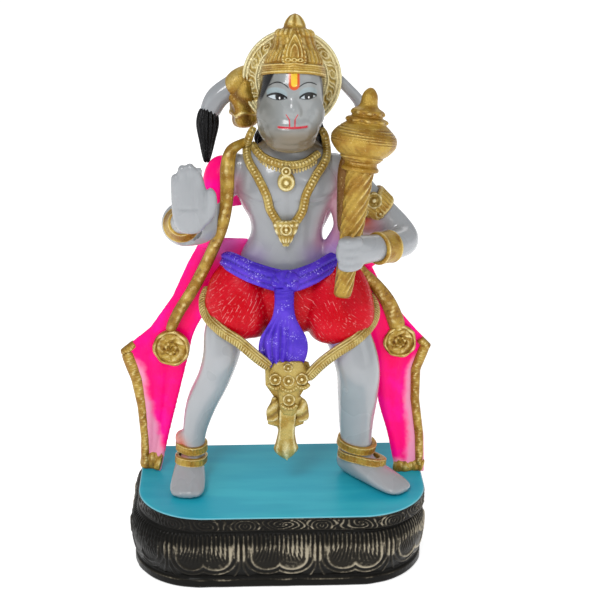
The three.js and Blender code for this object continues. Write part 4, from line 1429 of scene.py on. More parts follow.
# %% [markdown]
# ## Dhoti and sash
# The short dhoti puffs out over each thigh. Three limbs are melted for it, as one limb a leg would
# leave a crease in the middle. The mould-maker scratched short hatching into it in patches that change
# direction. The strokes are finer than the mesh, so the finish draws them: each patch has a lean, and a
# sine runs across its strokes. Their sparkle under the gloss is painted into the colour too: a painted
# sheen of lighter red along the strokes, and painted glints on bits of them and in fine dots between.

# %% Dhoti
DHOTI_RIGHT = [
    (-9, 7, 122, 11, 10), (-17, 6, 116, 17.6, 14.2), (-22, 4, 109, 19.8, 16.2),
    (-24.2, 1, 99, 19, 16.4), (-24.4, -1, 86, 16.4, 14.4),
]
DHOTI_LEFT = [
    (12, 7, 123, 12, 10), (20, 6, 116.5, 18, 14.6), (26.4, 3, 107.4, 20.4, 16.4),
    (28.6, -1, 96, 19.8, 16.4), (26.4, -3, 83, 16.4, 14.4),
]
DHOTI_MIDDLE = [
    (1, 5, 122, 18, 14.5), (1.4, 4.6, 112, 20, 16.6), (1.6, 4.2, 100, 19, 16.4),
    (1.6, 4.0, 87, 14, 13.4),
]
dhoti_parts = [
    sewn(limb(path, 64, 70, blunt=5)) for path in (DHOTI_RIGHT, DHOTI_LEFT, DHOTI_MIDDLE)
]
dhoti = melted("dhoti", dhoti_parts, 0.62, 8)
points, normals = read_mesh(dhoti)
x, y, z = points.T
folds = np.cos(0.42 * (x + 0.3 * z)) * smoothstep(z, 122, 110)
write_mesh(dhoti, points + normals * (0.3 * folds)[:, None])
print("dhoti", len(dhoti.polygons), "faces")

# %% Dhoti's paint
SCRATCH_PITCH = 2.1
red = Finish("red_enamel", {"Specular IOR Level": 0.15})
x, y, z, at = red.place()
column = ((x + (z / 7.0).sine() * 2.5) / 11.0).floor()
row = ((z + (x / 6.0).sine() * 2.0) / 10.0).floor()
lean = x.step(-3.0, 3.0) * 1.4 - 0.66 + ((column * 7.0 + row * 3.0) * 2.39).sine() * 0.3
stroke_at = x * (lean + np.pi / 2).sine() + z * lean.sine()
scratches = (stroke_at * (2 * np.pi / SCRATCH_PITCH)).sine().step(0.76, 0.98)
# painted glints on broken bits of the strokes
scratch_glints = scratches * red.noise(at, 3.4, 1.0).step(0.48, 0.58)
scratch_glints = scratch_glints * red.noise(at, 13.0, 1.0).step(0.44, 0.58)
clouds = red.noise(at, 14.0).step(0.38, 0.68)
enamel = red.mix(clouds, tint(196, 0, 20), tint(207, 0, 30))
# painted sheen: the strokes are painted a lighter red
enamel = red.mix(scratches * 0.2, enamel, tint(226, 36, 50))
# painted glints: fine pale dots
dots = red.noise(at, 1.3, 1.0).step(0.64, 0.72) * 0.3
red.colour(red.mix((scratch_glints * 0.7).most(dots), enamel, tint(248, 150, 150)))
red.rough(0.26 + clouds * 0.08)
red.bump(scratches + red.noise(at, 1.2, 2.0), 0.25, 0.7)
hand_over(dhoti, red)

# %% [markdown]
# The sash is folded cloth round the hips, knotted in front. It is a limb whose depth always points
# out of the loop, so the folds stay on its outer face. A loop of cloth could be draped by a
# simulation, but this one is resin and its folds are carved.

# %% Sash
BELT = [
    (3, 21.6, 119.6, 4.6, 2.6), (-13, 20.2, 120, 4.8, 2.8), (-25.8, 14.6, 121.6, 5, 3),
    (-31, 6.4, 125.4, 5.8, 3.2), (-27.6, -1.6, 128.2, 6.2, 3.4), (-16, -9.8, 125.4, 6.0, 3.4),
    (0.5, -12.6, 121.6, 6.2, 3.8), (14, -10.6, 124.6, 6.0, 3.4), (24.8, -2.6, 128.2, 5.8, 3.4),
    (29.8, 6.4, 127, 5.4, 3.2), (25.8, 14.6, 122.6, 5, 3), (14, 20.2, 120.4, 4.8, 2.8),
    (-2, 21.6, 119.7, 4.6, 2.6),
]


def outward_of(way):
    """The level way out of a loop that runs to the right in front."""
    return np.cross(way, UP)


rows = limb(BELT, 96, 320, outward_of, 30)
a, _ = grid_of(rows)
place = arc_length(rows)[:, None]
in_front = smoothstep(np.sin(a), 0.05, 0.5)
folds = np.cos(9 * np.cos(a) + 0.9 * np.sin(0.11 * place)) * in_front
weave = np.cos(2 * np.pi * place / 1.6 + 5 * np.cos(a)) * in_front * (0.5 - 0.5 * folds)
sash_parts = [carved(rows, 0.42 * folds + 0.12 * weave, 0.56 + 0.3 * folds + 0.12 * weave)]
knot_middle = np.array([0.2, -15.4, 122.6])
knot = egg(knot_middle, (7.6, 3.6, 6.4), 90, 60)
offset = knot - knot_middle
turn = np.arctan2(offset[..., 2], offset[..., 0])
out = np.hypot(offset[..., 0] / 7.6, offset[..., 2] / 6.4)
petals = np.abs(np.cos(2.5 * turn + 1.5 * out)) * smoothstep(out, 0.3, 0.5)
swirl = (petals - 0.5 + 0.8 * ridge(out - 0.3, 0.14)) * smoothstep(-offset[..., 1], 0, 1.5)
sash_parts.append(carved(knot, swirl, 0.5 + 0.5 * swirl))
print("sash", len(sash_parts), "parts so far")

# %% [markdown]
# The sash's end fans out below the knot in pleats. A cloth this thick is cast solid, so it is a
# flat limb whose width follows the fan, with the pleats pressed into its front.

# %% Sash's pleated end
KNOT_FOOT, END_LENGTH = 119.5, 45.5
END_WIDTHS = [4.9, 5.1, 5.3, 6.4, 9.2, 12.2, 13.2, 12.6, 10.8]
steps = np.linspace(0, 1, len(END_WIDTHS))
stations = [
    (-0.4 - t, -16.4 + 0.6 * t + 2.4 * t**3, KNOT_FOOT - END_LENGTH * t, width, 2.9 - 0.8 * t)
    for t, width in zip(steps, END_WIDTHS)
]
rows = limb(stations, 260, 200, blunt=16)
a, _ = grid_of(rows)
v = (KNOT_FOOT - rows.mean(axis=1)[:, 2:]) / END_LENGTH
side, face = np.cos(a), smoothstep(np.sin(a), 0.0, 0.45)
sway = 3.1 * side + 0.12 * np.sin(7 * v + 3 * side)
pleats = np.cos(2 * np.pi * sway) * smoothstep(v, 0.3, 0.55) * smoothstep(side, 0.75, -0.1)
crossing = 0.6 * np.cos(2 * np.pi * (v * END_LENGTH / 3.1 + 0.3 * side)) * smoothstep(v, 0.34, 0.2)
pattern = face * (pleats + 0.5 * crossing)
sash_parts.append(carved(rows, 0.75 * pattern, 0.62 + 0.36 * pattern))
ties = [hoop((-0.5, -15.8, z), (0, 0, 1), 5.2, 3.4, 1.6, 0, 60, 16) for z in (117.6, 115.4)]
sash_parts.extend(ties)
lay_out("sash", sash_parts, violet)

# %% [markdown]
# ## Hems and the hanging ornament
# A gold braid edges each leg of the dhoti and swings down to an ornament between the legs. The
# braid has rails on its upper half and short ribs below. The ornament could be one sculpted lump,
# but it reads as flowers and swags laid on a lobed plate, so it is built up in that order.

# %% Hems
HEM_RIGHT = [
    (-41, 12, 109.5), (-43, 3, 105.5), (-41.4, -5, 100), (-34, -14, 95), (-24.7, -18.2, 90),
    (-16.5, -18.6, 82.4), (-8.9, -16, 74.7),
]
HEM_LEFT = [
    (46, 13, 104.5), (48.6, 5, 100), (46.8, -4, 95), (38.6, -14.6, 90), (26.6, -19, 83.4),
    (18.6, -18.4, 76.6), (11.5, -16, 67.6),
]


def hem(path, flip):
    """A flat braid: rails on the upper half of its face and short ribs on the lower half."""
    rows = cord(path, 3.2, 2.1, 56, 300, (0, -1, 0.15))
    place, (a, _) = arc_length(rows)[:, None], grid_of(rows)
    side, face = flip * np.cos(a), smoothstep(np.sin(a), 0.05, 0.4)
    rails = np.cos(2 * np.pi * side / 0.42) * smoothstep(side, -0.1, 0.05)
    ribs = np.cos(2 * np.pi * (place + 1.2 * side) / 1.5) * smoothstep(side, 0.0, -0.15)
    pattern = face * (rails + ribs)
    return carved(rows, 0.22 * pattern, 0.5 + 0.3 * pattern)


lay_out("dhoti_hems", [hem(HEM_RIGHT, 1), hem(HEM_LEFT, -1)], pale)

# %% Hanging ornament
PLATE_OUTLINE = [
    (-8.6, 76.5), (1.4, 78.5), (12.6, 75.5), (14.2, 70), (12.2, 63.5), (7.2, 54.5), (10.8, 45.5),
    (9.8, 39.5), (4.6, 37.5), (3.4, 30), (-2, 30), (-4.8, 38), (-9.8, 39.6), (-9.4, 45),
    (-6.2, 55.5), (-10.8, 62.5), (-11, 71.5),
]


def lobed_plate(outline, y, thickness, steps=240, rings=30):
    """A plate inside an outline. Its rings are slices of the height z, each a slot from left
    to right: x = middle + half-width cos(a), y = y + half-thickness sin(a), with a soft edge.
    """
    outline = np.array(outline, float)
    top = outline[:, 1].argmax()
    down = np.roll(outline, -top, axis=0)
    low = down[:, 1].argmin()
    right, left = down[: low + 1], np.vstack([down[low:], down[:1]])
    z = np.linspace(outline[:, 1].min() + 0.02, outline[:, 1].max() - 0.02, steps)
    right_x = np.interp(z, right[::-1, 1], right[::-1, 0])
    order = np.argsort(left[:, 1], kind="stable")
    left_x = np.interp(z, left[order, 1], left[order, 0])
    a = circle(rings)[None, :]
    middle, half = (right_x + left_x)[:, None] / 2, (right_x - left_x)[:, None] / 2
    depth = 0.5 * thickness * np.sign(np.sin(a)) * np.abs(np.sin(a)) ** 0.6
    return np.stack([middle + half * np.cos(a), y + depth + 0 * middle, z[:, None] + 0 * a], -1)


plate_rows = lobed_plate(PLATE_OUTLINE, -12.6, 3.8)
print("ornament's plate is", round(float(np.ptp(plate_rows[..., 2])), 1), "shares high")

# %% Ornament's plate and flowers
ornament_parts = [sewn(plate_rows, 0.42)]
BOSS = [
    (1.6, -15.2, 77.6, 8.6, 2.6), (1.7, -15.4, 68, 10.8, 3.2), (1.8, -15.2, 60, 6.2, 3.2),
    (1.8, -14.8, 52, 5.6, 3), (1.6, -14.2, 45, 4.2, 2.4),
]
ornament_parts.append(sewn(limb(BOSS, 40, 40, blunt=7), 0.46))
for x, z, size in [
    (-5.6, 68.2, 3.3), (1.6, 67.4, 3.2), (8.6, 68.2, 3.3), (1.3, 74.8, 2.5), (1.7, 56.2, 3.4),
]:
    ornament_parts.append(boss((x, -18.2, z), size, 1.5, 5))
print("ornament", len(ornament_parts), "parts so far")

# %% Hanging ornament's frill and cloth end


def scallop(centre, half_width, rise):
    """A small hanging swag: a thick cord along a parabola."""
    x = np.linspace(-1, 1, 7)
    path = np.stack([centre[0] + half_width * x, centre[1] + 0 * x, centre[2] + rise * x**2], -1)
    return beaded(path, 1.3, 1.2, 1.6, 70, 0.3, 20)


for centre, half_width, rise in [
    ((1.7, -18.2, 61.4), 4.6, 2.2),
    ((-5.6, -17.6, 62.6), 3.6, 2.4),
    ((9.0, -17.6, 62.6), 3.6, 2.4),
    ((1.8, -17.6, 50.6), 4.4, 2.4),
]:
    ornament_parts.append(scallop(centre, half_width, rise))
CLOTH_END = [
    (1.4, -14.0, 51, 5.4, 2.4), (1.0, -13.6, 44.7, 5.3, 2.8), (0.5, -13.4, 36, 4.6, 2.7),
    (0.2, -13.2, 29, 5.6, 2.8), (0.2, -13, 24.6, 6.7, 2.8), (0.4, -12.6, 21, 4.4, 2.4),
    (0.6, -12.4, 18.4, 1.4, 1.6),
]
rows = limb(CLOTH_END, 56, 120, blunt=8)
a, v = grid_of(rows)
keel = ridge(np.cos(a), 0.35) * smoothstep(np.sin(a), 0.1, 0.6) * smoothstep(v, 0.35, 0.6)
rail = ridge(np.abs(np.cos(a)) - 0.75, 0.12) * smoothstep(np.sin(a), 0, 0.4) * smoothstep(v, 0.75, 0.6)
ornament_parts.append(carved(rows, 0.7 * keel + 0.4 * rail, 0.5 + 0.35 * (keel + rail)))
ear = [(-5.4, -14.4, 56, 1.4, 1.6), (-6.8, -15, 49.6, 3, 2), (-7.6, -15, 42.6, 3.2, 1.8)]
other_ear = [(7.6, -14.4, 56, 1.4, 1.6), (9.2, -15, 49.4, 3.4, 2), (8.8, -15, 42.4, 3.2, 1.8)]
for path in (ear, other_ear):
    rows = limb(path, 40, 50, blunt=9)
    a, v = grid_of(rows)
    creases = np.cos(14 * v + 2 * np.cos(a))
    ornament_parts.append(carved(rows, 0.3 * creases, 0.5 + 0.3 * creases))
lay_out("hanging_ornament", ornament_parts, pale)

# %% [markdown]
# ## Shawl
# The shawl lies over both shoulders and the back, and falls at each side as a flared wing that
# reaches the deck. Sleeves, cape and wings are melted together, so it reads as one cloth. A sheet
# is a flattened tube: one surface, moved apart by the cloth's thickness, so no edge is open.

# %% Sheets of cloth


def plate(surface, thickness, across, along):
    """A thin closed skin on both sides of surface(u, v), rounded at its two long edges.

    Round each ring, u runs out and back as a cosine and the offset from the middle follows the
    square root of a sine, so the section is a slot with round ends.
    """
    a = circle(across)[None, :]
    v = np.linspace(0, 1, along)[:, None]
    wave = np.cos(a)
    u = 0.5 - 0.5 * np.sign(wave) * np.abs(wave) ** 0.8 + 0 * v
    v = v + 0 * a
    gap = 1e-3
    way_u = surface(np.minimum(u + gap, 1), v) - surface(np.maximum(u - gap, 0), v)
    way_v = surface(u, np.minimum(v + gap, 1)) - surface(u, np.maximum(v - gap, 0))
    normal = unit(np.cross(way_u, way_v))
    end = (1 - np.abs(2 * v - 1) ** 24) ** 0.5
    lift = 0.5 * thickness * np.sign(np.sin(a)) * np.abs(np.sin(a)) ** 0.5 * end
    return surface(u, v) + normal * lift[..., None]


def lerp(a, b, t):
    """a at t = 0, b at t = 1."""
    return a + (b - a) * t


print("a third of the way from 0 to 9 is", round(lerp(0, 9, 1 / 3), 3))

# %% Shawl's sleeves and cape
RIGHT_SLEEVE = [
    (-27, 11.5, 180, 5, 6), (-32.6, 9.5, 175.6, 8.6, 9), (-36.4, 8, 162, 7.6, 9.4),
    (-39, 8.5, 148, 7.4, 8.6), (-42, 10, 134, 7.4, 5),
]
LEFT_SLEEVE = [
    (28, 12, 178, 6, 7), (33, 13, 172, 8, 7.4), (36.4, 14, 154, 10.4, 6), (42, 14, 136, 10, 4.6),
    (46, 14, 120, 7, 3),
]


def cape(u, v):
    """Between the shoulders: highest and furthest back in the middle."""
    bow = 1 - (2 * u - 1) ** 2
    top, bottom = lerp(170, 188, bow), lerp(156, 150.5, u)
    return np.stack([lerp(-38, 42, u), 13 + 8 * bow, lerp(bottom, top, v)], -1)


cape_line = cape(np.array([0.5, 0.5]), np.array([0.0, 1.0]))
print("cape's middle, from foot to top", cape_line.round(1).tolist())

# %% Shawl's wings
# each row: height, inner x, outer x, inner y, outer y
RIGHT_WING = np.array(
    [
        (139, -18, -44, 9, 12), (123, -25, -52.4, 12, 15), (103, -38, -61.2, 14, 18),
        (84, -49, -74, 16, 21), (69, -53, -91.5, 17, 24), (53, -57, -86, 18.5, 24.5),
        (36, -61.4, -83, 19, 24), (17, -66.4, -81.6, 17.4, 23), (-1.5, -71, -82, 11, 22),
    ],
    float,
)
LEFT_WING = np.array(
    [
        (137.5, 18, 43, 9, 13), (124, 25, 46.5, 12, 14), (110, 38, 53, 14, 15),
        (96, 44, 62, 14, 16), (82, 46.6, 73.4, 15, 18), (72, 49, 82.4, 16, 20),
        (58, 50.8, 76.8, 16, 19), (40, 53, 76.4, 16, 17), (20, 58.6, 78.8, 13.4, 12),
        (-1.5, 63, 79, 9.6, 6),
    ],
    float,
)

RIGHT_FOLD, LEFT_FOLD = 1.6, -1.4
print("wing rows", len(RIGHT_WING), "and", len(LEFT_WING))

# %% Wings as sheets


def straight(points, t):
    """Reads straight lines through points at t from 0 to 1, so corners stay sharp."""
    place = np.linspace(0, 1, len(points))
    return np.stack([np.interp(t, place, points[:, k]) for k in range(points.shape[1])], -1)


def wing(table, fold):
    """A sheet between an inner and an outer edge, with one soft fold that deepens downwards."""

    def surface(u, v):
        """From the inner edge at u = 0 to the outer one at u = 1, and down as v grows."""
        inner = curve(table[:, [1, 3, 0]], v)
        outer = straight(table[:, [2, 4, 0]], v)
        point = lerp(inner, outer, u[..., None])
        point[..., 1] += fold * np.sin(2 * np.pi * u) * np.minimum(1, 2 * v)
        point[..., 1] += 0.45 * np.cos(7 * np.pi * u) * smoothstep(v, 0.3, 0.6)
        return point

    return surface


foot_corners = wing(RIGHT_WING, RIGHT_FOLD)(np.array([0.0, 1.0]), np.array([1.0, 1.0]))
print("right wing's foot, inner and outer corner", foot_corners.round(1).tolist())

# %% Shawl melted
shawl_parts = [
    sewn(limb(RIGHT_SLEEVE, 40, 60)),
    sewn(limb(LEFT_SLEEVE, 40, 60)),
    sewn(plate(cape, 5, 120, 60)),
    sewn(plate(wing(RIGHT_WING, RIGHT_FOLD), 3.4, 100, 160)),
    sewn(plate(wing(LEFT_WING, LEFT_FOLD), 3.4, 100, 160)),
]
shawl = melted("shawl", shawl_parts, 0.8, 3)
points, normals = read_mesh(shawl)
x, y, z = points.T
swag = z - 0.012 * (x - 2) ** 2 + 1.5 * np.sin(0.11 * x + 0.6)
folds = 0.5 * np.cos(2 * np.pi * swag / 11) * smoothstep(z, 132, 150) * smoothstep(y, 12, 16)
write_mesh(shawl, points + normals * folds[:, None])
print("shawl", len(shawl.polygons), "faces")

# %% [markdown]
# The shawl is hot pink, blown on in one pass. It is painted a deeper red beside the braids and under a
# roundel, a painted shade, and it lets the white resin through beside the borders and at the wings'
# feet. It also glows faintly in its own pink, painted light. Noise alone can't know where these lie, so
# three layers are kept at the vertices for the finish.

# %% Paths of the two long braids
RIGHT_BRAID = [
    (-17, 12, 192.4), (-22, 7, 191.4), (-27.4, 1.6, 188.6), (-29.4, -2.4, 181), (-29.8, -3.0, 169),
    (-30.8, -2.6, 158), (-33.0, -1.0, 148), (-36.6, 3, 138), (-42.4, 8, 124), (-49.8, 11, 109),
    (-58, 13, 95), (-63, 14.4, 84),
]
LEFT_BRAID = [
    (37, 8, 127), (43, 9.5, 118.5), (50, 11.5, 110.5), (56.8, 13, 100.5), (61.2, 14, 90),
    (63, 14.8, 83),
]
print("braid stations", len(RIGHT_BRAID), "and", len(LEFT_BRAID))

# %% Where painted shade reddens the shawl
points, _ = read_mesh(shawl)
x, y, z = points.T
t = np.linspace(0, 1, 60)
beside_right = curve(RIGHT_BRAID, t) + np.array([5.0, 2.0, 0.0])
beside_left = curve(LEFT_BRAID, t) + np.array([-5.0, 1.0, 0.0])
under_roundel = curve([(64, 12, 86), (56, 12, 70), (62, 12, 64)], t)
painted_red_shade = nearness(points, beside_right, 6) + nearness(points, beside_left, 7)
painted_red_shade = painted_red_shade + nearness(points, under_roundel, 7)
keep_layer(shawl, "painted_red_shade", np.clip(painted_red_shade, 0, 1))
lilac_paths = [
    [(-23, 13, 147), (-27, 13, 141), (-32, 10, 134)],
    [(27, 10, 143), (30, 9, 136), (33, 8, 131)],
]
lilac = sum(nearness(points, curve(path, t), 8.5) for path in lilac_paths)
keep_layer(shawl, "lilac", np.clip(lilac, 0, 1))
print("thick on", round(100 * float((painted_red_shade > 0.5).mean())), "% of the shawl")

# %% Where the spray lies thin


def inside_edge(table, side):
    """How far inside a wing's outer edge the shawl's points lie; side is -1 on the right."""
    return side * (np.interp(z, table[::-1, 0], table[::-1, 2]) - x)


border_right = 2 * np.interp(z, [0, 20, 50, 68, 80], [2.6, 2.4, 2.9, 4.0, 4.0])
bare_right = np.interp(z, [8, 20, 36, 50, 70], [9.0, 5.5, 2.2, 1.6, 2.6])
thin_right = smoothstep(inside_edge(RIGHT_WING, -1) - border_right - bare_right, 6, -5)
thin_right = np.maximum(thin_right, smoothstep(z, 15, 6)) * (x < 0) * smoothstep(z, 72, 56)
border_left = 5.2
bare_left = np.interp(z, [6, 20, 50, 74], [5.0, 3.2, 2.4, 1.6])
thin_left = smoothstep(inside_edge(LEFT_WING, 1) - border_left - bare_left, 5, -4)
thin_left = np.maximum(thin_left, smoothstep(z, 11, 3)) * (x > 0) * smoothstep(z, 74, 60)
keep_layer(shawl, "thin", thin_right + thin_left)
print("thin on", round(100 * float((thin_right + thin_left > 0.5).mean())), "% of the shawl")

# %% Shawl's paint
pink = Finish(
    "pink_airbrush",
    {
        "Specular IOR Level": 0.12,
        # painted light: the pink glows faintly in its own colour, so it stays bright in shade
        "Emission Color": tint(255, 0, 134),
        "Emission Strength": 0.14,
    },
)
_, _, _, at = pink.place()
clouds = pink.noise(at, 16.0, 3.0)
body = pink.mix(clouds.step(0.42, 0.7), tint(255, 0, 118), tint(255, 8, 156))
# painted shade: deeper red beside the braids and under the roundel
body = pink.mix(pink.layer("painted_red_shade") * 0.6, body, tint(240, 0, 56))
body = pink.mix(pink.layer("lilac") * 0.85, body, tint(188, 122, 200))
spray = (pink.layer("thin") + pink.noise(at, 6.0, 5.0) * 0.8 - 0.4).step(0.15, 0.85)
pink.colour(pink.mix(spray * 0.8, body, tint(216, 176, 196)))
pink.rough(0.26 + clouds * 0.1)
pink.bump(pink.noise(at, 1.2, 3.0), 0.3, 0.6)
hand_over(shawl, pink)

# %% [markdown]
# A gold braid runs down each side of the shawl, a border edges its wings, and a roundel holds each
# braid to its wing. They were cast in a worn mould, so no two lumps are alike. Copies of one lump
# would look stamped; two waves whose phases wander give lumps that never quite repeat.

# %% Shawl's braids and borders


def braid(path, half_width, half_depth, along, pitch, front=(0, -1, 0.1), height=0.45):
    """A flat strip of loose lumps between soft rails, cast in a worn mould.

    A lump is a product of two waves along the strip whose phases wander, so no two are alike.
    """
    rows = cord(path, half_width, half_depth, 44, along, front)
    place, (a, _) = arc_length(rows)[:, None], grid_of(rows)
    side, face = np.cos(a), smoothstep(np.sin(a), 0.0, 0.4)
    q = 2 * np.pi * place / pitch
    lumps = 0.5 + 0.5 * np.sin(q + 1.6 * np.sin(0.37 * q) + 1.7 * side) * np.cos(0.61 * q - 2.2 * side)
    lumps = lumps * smoothstep(np.abs(side), 0.95, 0.4)
    spine = 0.5 * ridge(side - 0.25 * np.sin(0.3 * q), 0.4)
    rails = 0.4 * ridge(np.abs(side) - 0.84, 0.14)
    pattern = face * (0.8 * lumps + 1.5 * spine + rails - 0.5)
    return carved(rows, height * pattern, 0.42 + 0.5 * pattern)


RIGHT_WIDTHS = (1.8, 2.4, 3.2, 3.8, 3.6, 3.3, 3.2, 3.2, 3.3, 3.3, 3.3, 3.3)
LEFT_WIDTHS = (2.8, 3.0, 3.6, 4.2, 4.6, 4.6)
edge_parts = [
    braid(RIGHT_BRAID, RIGHT_WIDTHS, 1.9, 420, 8.4, height=0.24),
    braid(LEFT_BRAID, LEFT_WIDTHS, 2.2, 220, 4.8, height=0.26),
]
print("long braids", len(edge_parts))

# %% Borders laid on the wings


def wing_edge(table, fold, first, widths):
    """The gold border down a wing's outer edge, laid on the sheet and inset by half its width."""
    v = np.linspace(first / (len(table) - 1), 0.975, 26)
    half = np.interp(v, np.linspace(v[0], v[-1], len(widths)), widths)
    across = straight(np.abs(table[:, 1:2] - table[:, 2:3]), v)[:, 0]
    on_sheet = wing(table, fold)((1 - half / across)[None, :], v[None, :])[0]
    on_sheet[:, 1] -= 1.3
    return on_sheet, half


def wing_corner(table, row, length):
    """The short piece of border that runs in from a wing's outer corner along its upper edge."""
    corner, above = table[row, [2, 4, 0]], table[row - 1, [2, 4, 0]]
    way = unit(above - corner)
    inward = np.sign(table[row, 1] - table[row, 2])
    start = corner + np.array([1.4 * inward, -0.7, -1.8])
    return start + np.linspace(0.4, length, 4)[:, None] * way


def wing_foot(table, fold, height):
    """The gold border across a wing's foot, laid on the front of the sheet."""
    t = np.linspace(0.03, 0.97, 9)
    on_sheet = wing(table, fold)(t[None, :], np.full((1, 9), 0.965))[0]
    return np.stack([on_sheet[:, 0], on_sheet[:, 1] - 1.4, np.full(9, height)], -1)


right_edge = wing_edge(RIGHT_WING, RIGHT_FOLD, 4, (4.4, 3.9, 3.1, 2.7, 2.7))
left_edge = wing_edge(LEFT_WING, LEFT_FOLD, 5, (3.2, 2.9, 2.6, 2.6, 2.6))
edge_parts += [
    braid(*right_edge, 2.4, 300, 2.1, height=0.28),
    braid(*left_edge, 2.4, 300, 2.1, height=0.28),
    braid(wing_corner(RIGHT_WING, 4, 10), 2.8, 2.4, 60, 2.1, height=0.28),
    braid(wing_corner(LEFT_WING, 5, 8), 2.4, 2.4, 60, 2.1, height=0.28),
    braid(wing_foot(RIGHT_WING, RIGHT_FOLD, 4.8), 5.0, 1.0, 90, 3.4, (0, -1, 0.3), 0.16),
    braid(wing_foot(LEFT_WING, LEFT_FOLD, 3.4), 3.8, 1.0, 90, 3.4, (0, -1, 0.3), 0.16),
]
print("braids and borders", len(edge_parts))

# %% Roundels


def roundel(x, z, radius, turned_out):
    """A disc with a rolled rim, seven petals and a small flower in the middle."""
    profile = [
        (0.02, -1), (radius - 0.4, -1), (radius, -0.5), (radius, 1.8), (0.94 * radius, 2.5),
        (0.85 * radius, 2.3), (0.8 * radius, 1.3), (0.36 * radius, 1.3), (0.33 * radius, 2.4),
        (0.24 * radius, 3.0), (0.16 * radius, 2.3), (0.1 * radius, 3.1), (0.02, 3.3),
    ]
    rows, r, h, a = turned(profile, (x, 15, z), (turned_out, -1, 0.06), 150, 100, UP)
    out = (r / radius)[:, None]
    front_side = smoothstep(h[:, None], 0.4, 1.1)
    petals = np.abs(np.cos(3.5 * a))[None, :] ** 0.6 * smoothstep(out, 0.38, 0.5)
    petals = petals * smoothstep(out, 0.82, 0.72) * front_side
    worn = np.sin(5 * a + 6 * out) * np.sin(9 * out + 2 * np.cos(2 * a)) * front_side
    tone = 0.42 + 0.3 * petals + 0.35 * ridge(out - 0.9, 0.07) + 0.3 * ridge(out - 0.27, 0.06)
    return carved(rows, 0.7 * petals + 0.4 * worn, tone + 0.25 * worn)


edge_parts += [roundel(-62.3, 74, 10.2, -0.1), roundel(64.1, 76.3, 9.2, 0.1)]
lay_out("shawl_gold", edge_parts, amber)

# %% [markdown]
# ## Bell on the tail
# A gold cloth is tied round the tail beside the halo and hangs from it in a soft bell shape. It
# could be a hollow bell, but no opening shows and the casting is solid there, so the cloth is a
# closed turned shape with drapes pressed round it.

# %% Tail's wrap and bell
rows = limb([(-15.5, 27.4, 224, 6), (-22, 27, 219.4, 8), (-28.4, 26.6, 214.6, 6.6)], 80, 60, blunt=6)
a, v = grid_of(rows)
winding = np.cos(3 * a + 9 * v + 1.5 * np.sin(5 * v))
wrap = carved(rows, 0.3 * winding, 0.5 + 0.2 * winding)
bell_profile = [
    (0.05, 0), (3.2, 0.2), (5.8, 1.4), (6.7, 3.8), (6.6, 6.4), (7.6, 8.6), (7.2, 10.4), (7.4, 14),
    (8.0, 18), (7.4, 23), (4.6, 27), (0.05, 28.5),
]
rows, _, height, angle = turned(bell_profile, (-20, 26, 195.6), (-0.06, 0, 1), 110, 120, soft=True)
h, a = height[:, None], angle[None, :]
hem_line = ridge(h - 8.6 - 0.8 * np.cos(5 * a), 0.8)
drape = np.cos(4 * a + 0.22 * h + np.sin(0.4 * h)) * smoothstep(h, 0, 5)
bell_tone = 0.38 + 0.2 * drape + 0.5 * hem_line
bell_part = carved(rows, 0.7 * drape + 0.5 * hem_line, bell_tone)
lay_out("tail_bell", [wrap, bell_part], amber)

# %% [markdown]
# ## Lotus plinth
# The plinth is an oblong with round front corners. One petal could be modelled and copied, but
# petals run into one another and bend round the corners. So its side is one sheet wound round it:
# the distance round the outline is one parameter and the height is the other. On it stand a foot
# rim, a ring of heart-shaped petals under a fringe of short flutes, and a frieze of scrolls.

# %% Plinth's outline
PLINTH_WIDTH, PLINTH_DEPTH, PLINTH_HEIGHT = 164.0, 96.0, 42.0
FRONT_CORNER, BACK_CORNER = 40.0, 14.0
# the petals and the foot rim stand this far to the left under the frieze, as in the photo
BAND_SHIFT = -2.3
millimetre = plinth_high.z / PLINTH_HEIGHT


def plinth_outline(columns):
    """Even steps round the plan from its front middle, with the outward way at each step."""
    x, y = PLINTH_WIDTH / 2, PLINTH_DEPTH / 2
    quarter = np.pi / 2
    arcs = []
    for cx, cy, r, start in [
        (x - FRONT_CORNER, FRONT_CORNER - y, FRONT_CORNER, -quarter),
        (x - BACK_CORNER, y - BACK_CORNER, BACK_CORNER, 0.0),
        (BACK_CORNER - x, y - BACK_CORNER, BACK_CORNER, quarter),
        (FRONT_CORNER - x, FRONT_CORNER - y, FRONT_CORNER, 2 * quarter),
    ]:
        turn = start + np.linspace(0, quarter, 60)
        arcs.append(np.stack([cx + r * np.cos(turn), cy + r * np.sin(turn)], -1))
    path = np.vstack([[0, -y], *arcs, [0, -y]])
    reach = np.concatenate([[0], np.cumsum(np.linalg.norm(np.diff(path, axis=0), axis=1))])
    s = np.linspace(0, reach[-1], columns, endpoint=False)
    points = np.stack([np.interp(s, reach, path[:, k]) for k in (0, 1)], -1)
    way = unit(np.roll(points, -1, axis=0) - np.roll(points, 1, axis=0))
    return points, np.stack([way[:, 1], -way[:, 0]], -1), s, reach[-1]


outline, outward, along_side, perimeter = plinth_outline(1080)
print("plinth is", round(perimeter, 1), "mm round")

# %% Petals, fringe and frieze as heights
FOOT_HEIGHT, FRIEZE_FOOT = 5.4, 33.4
PETALS = 12
pitch = perimeter / PETALS


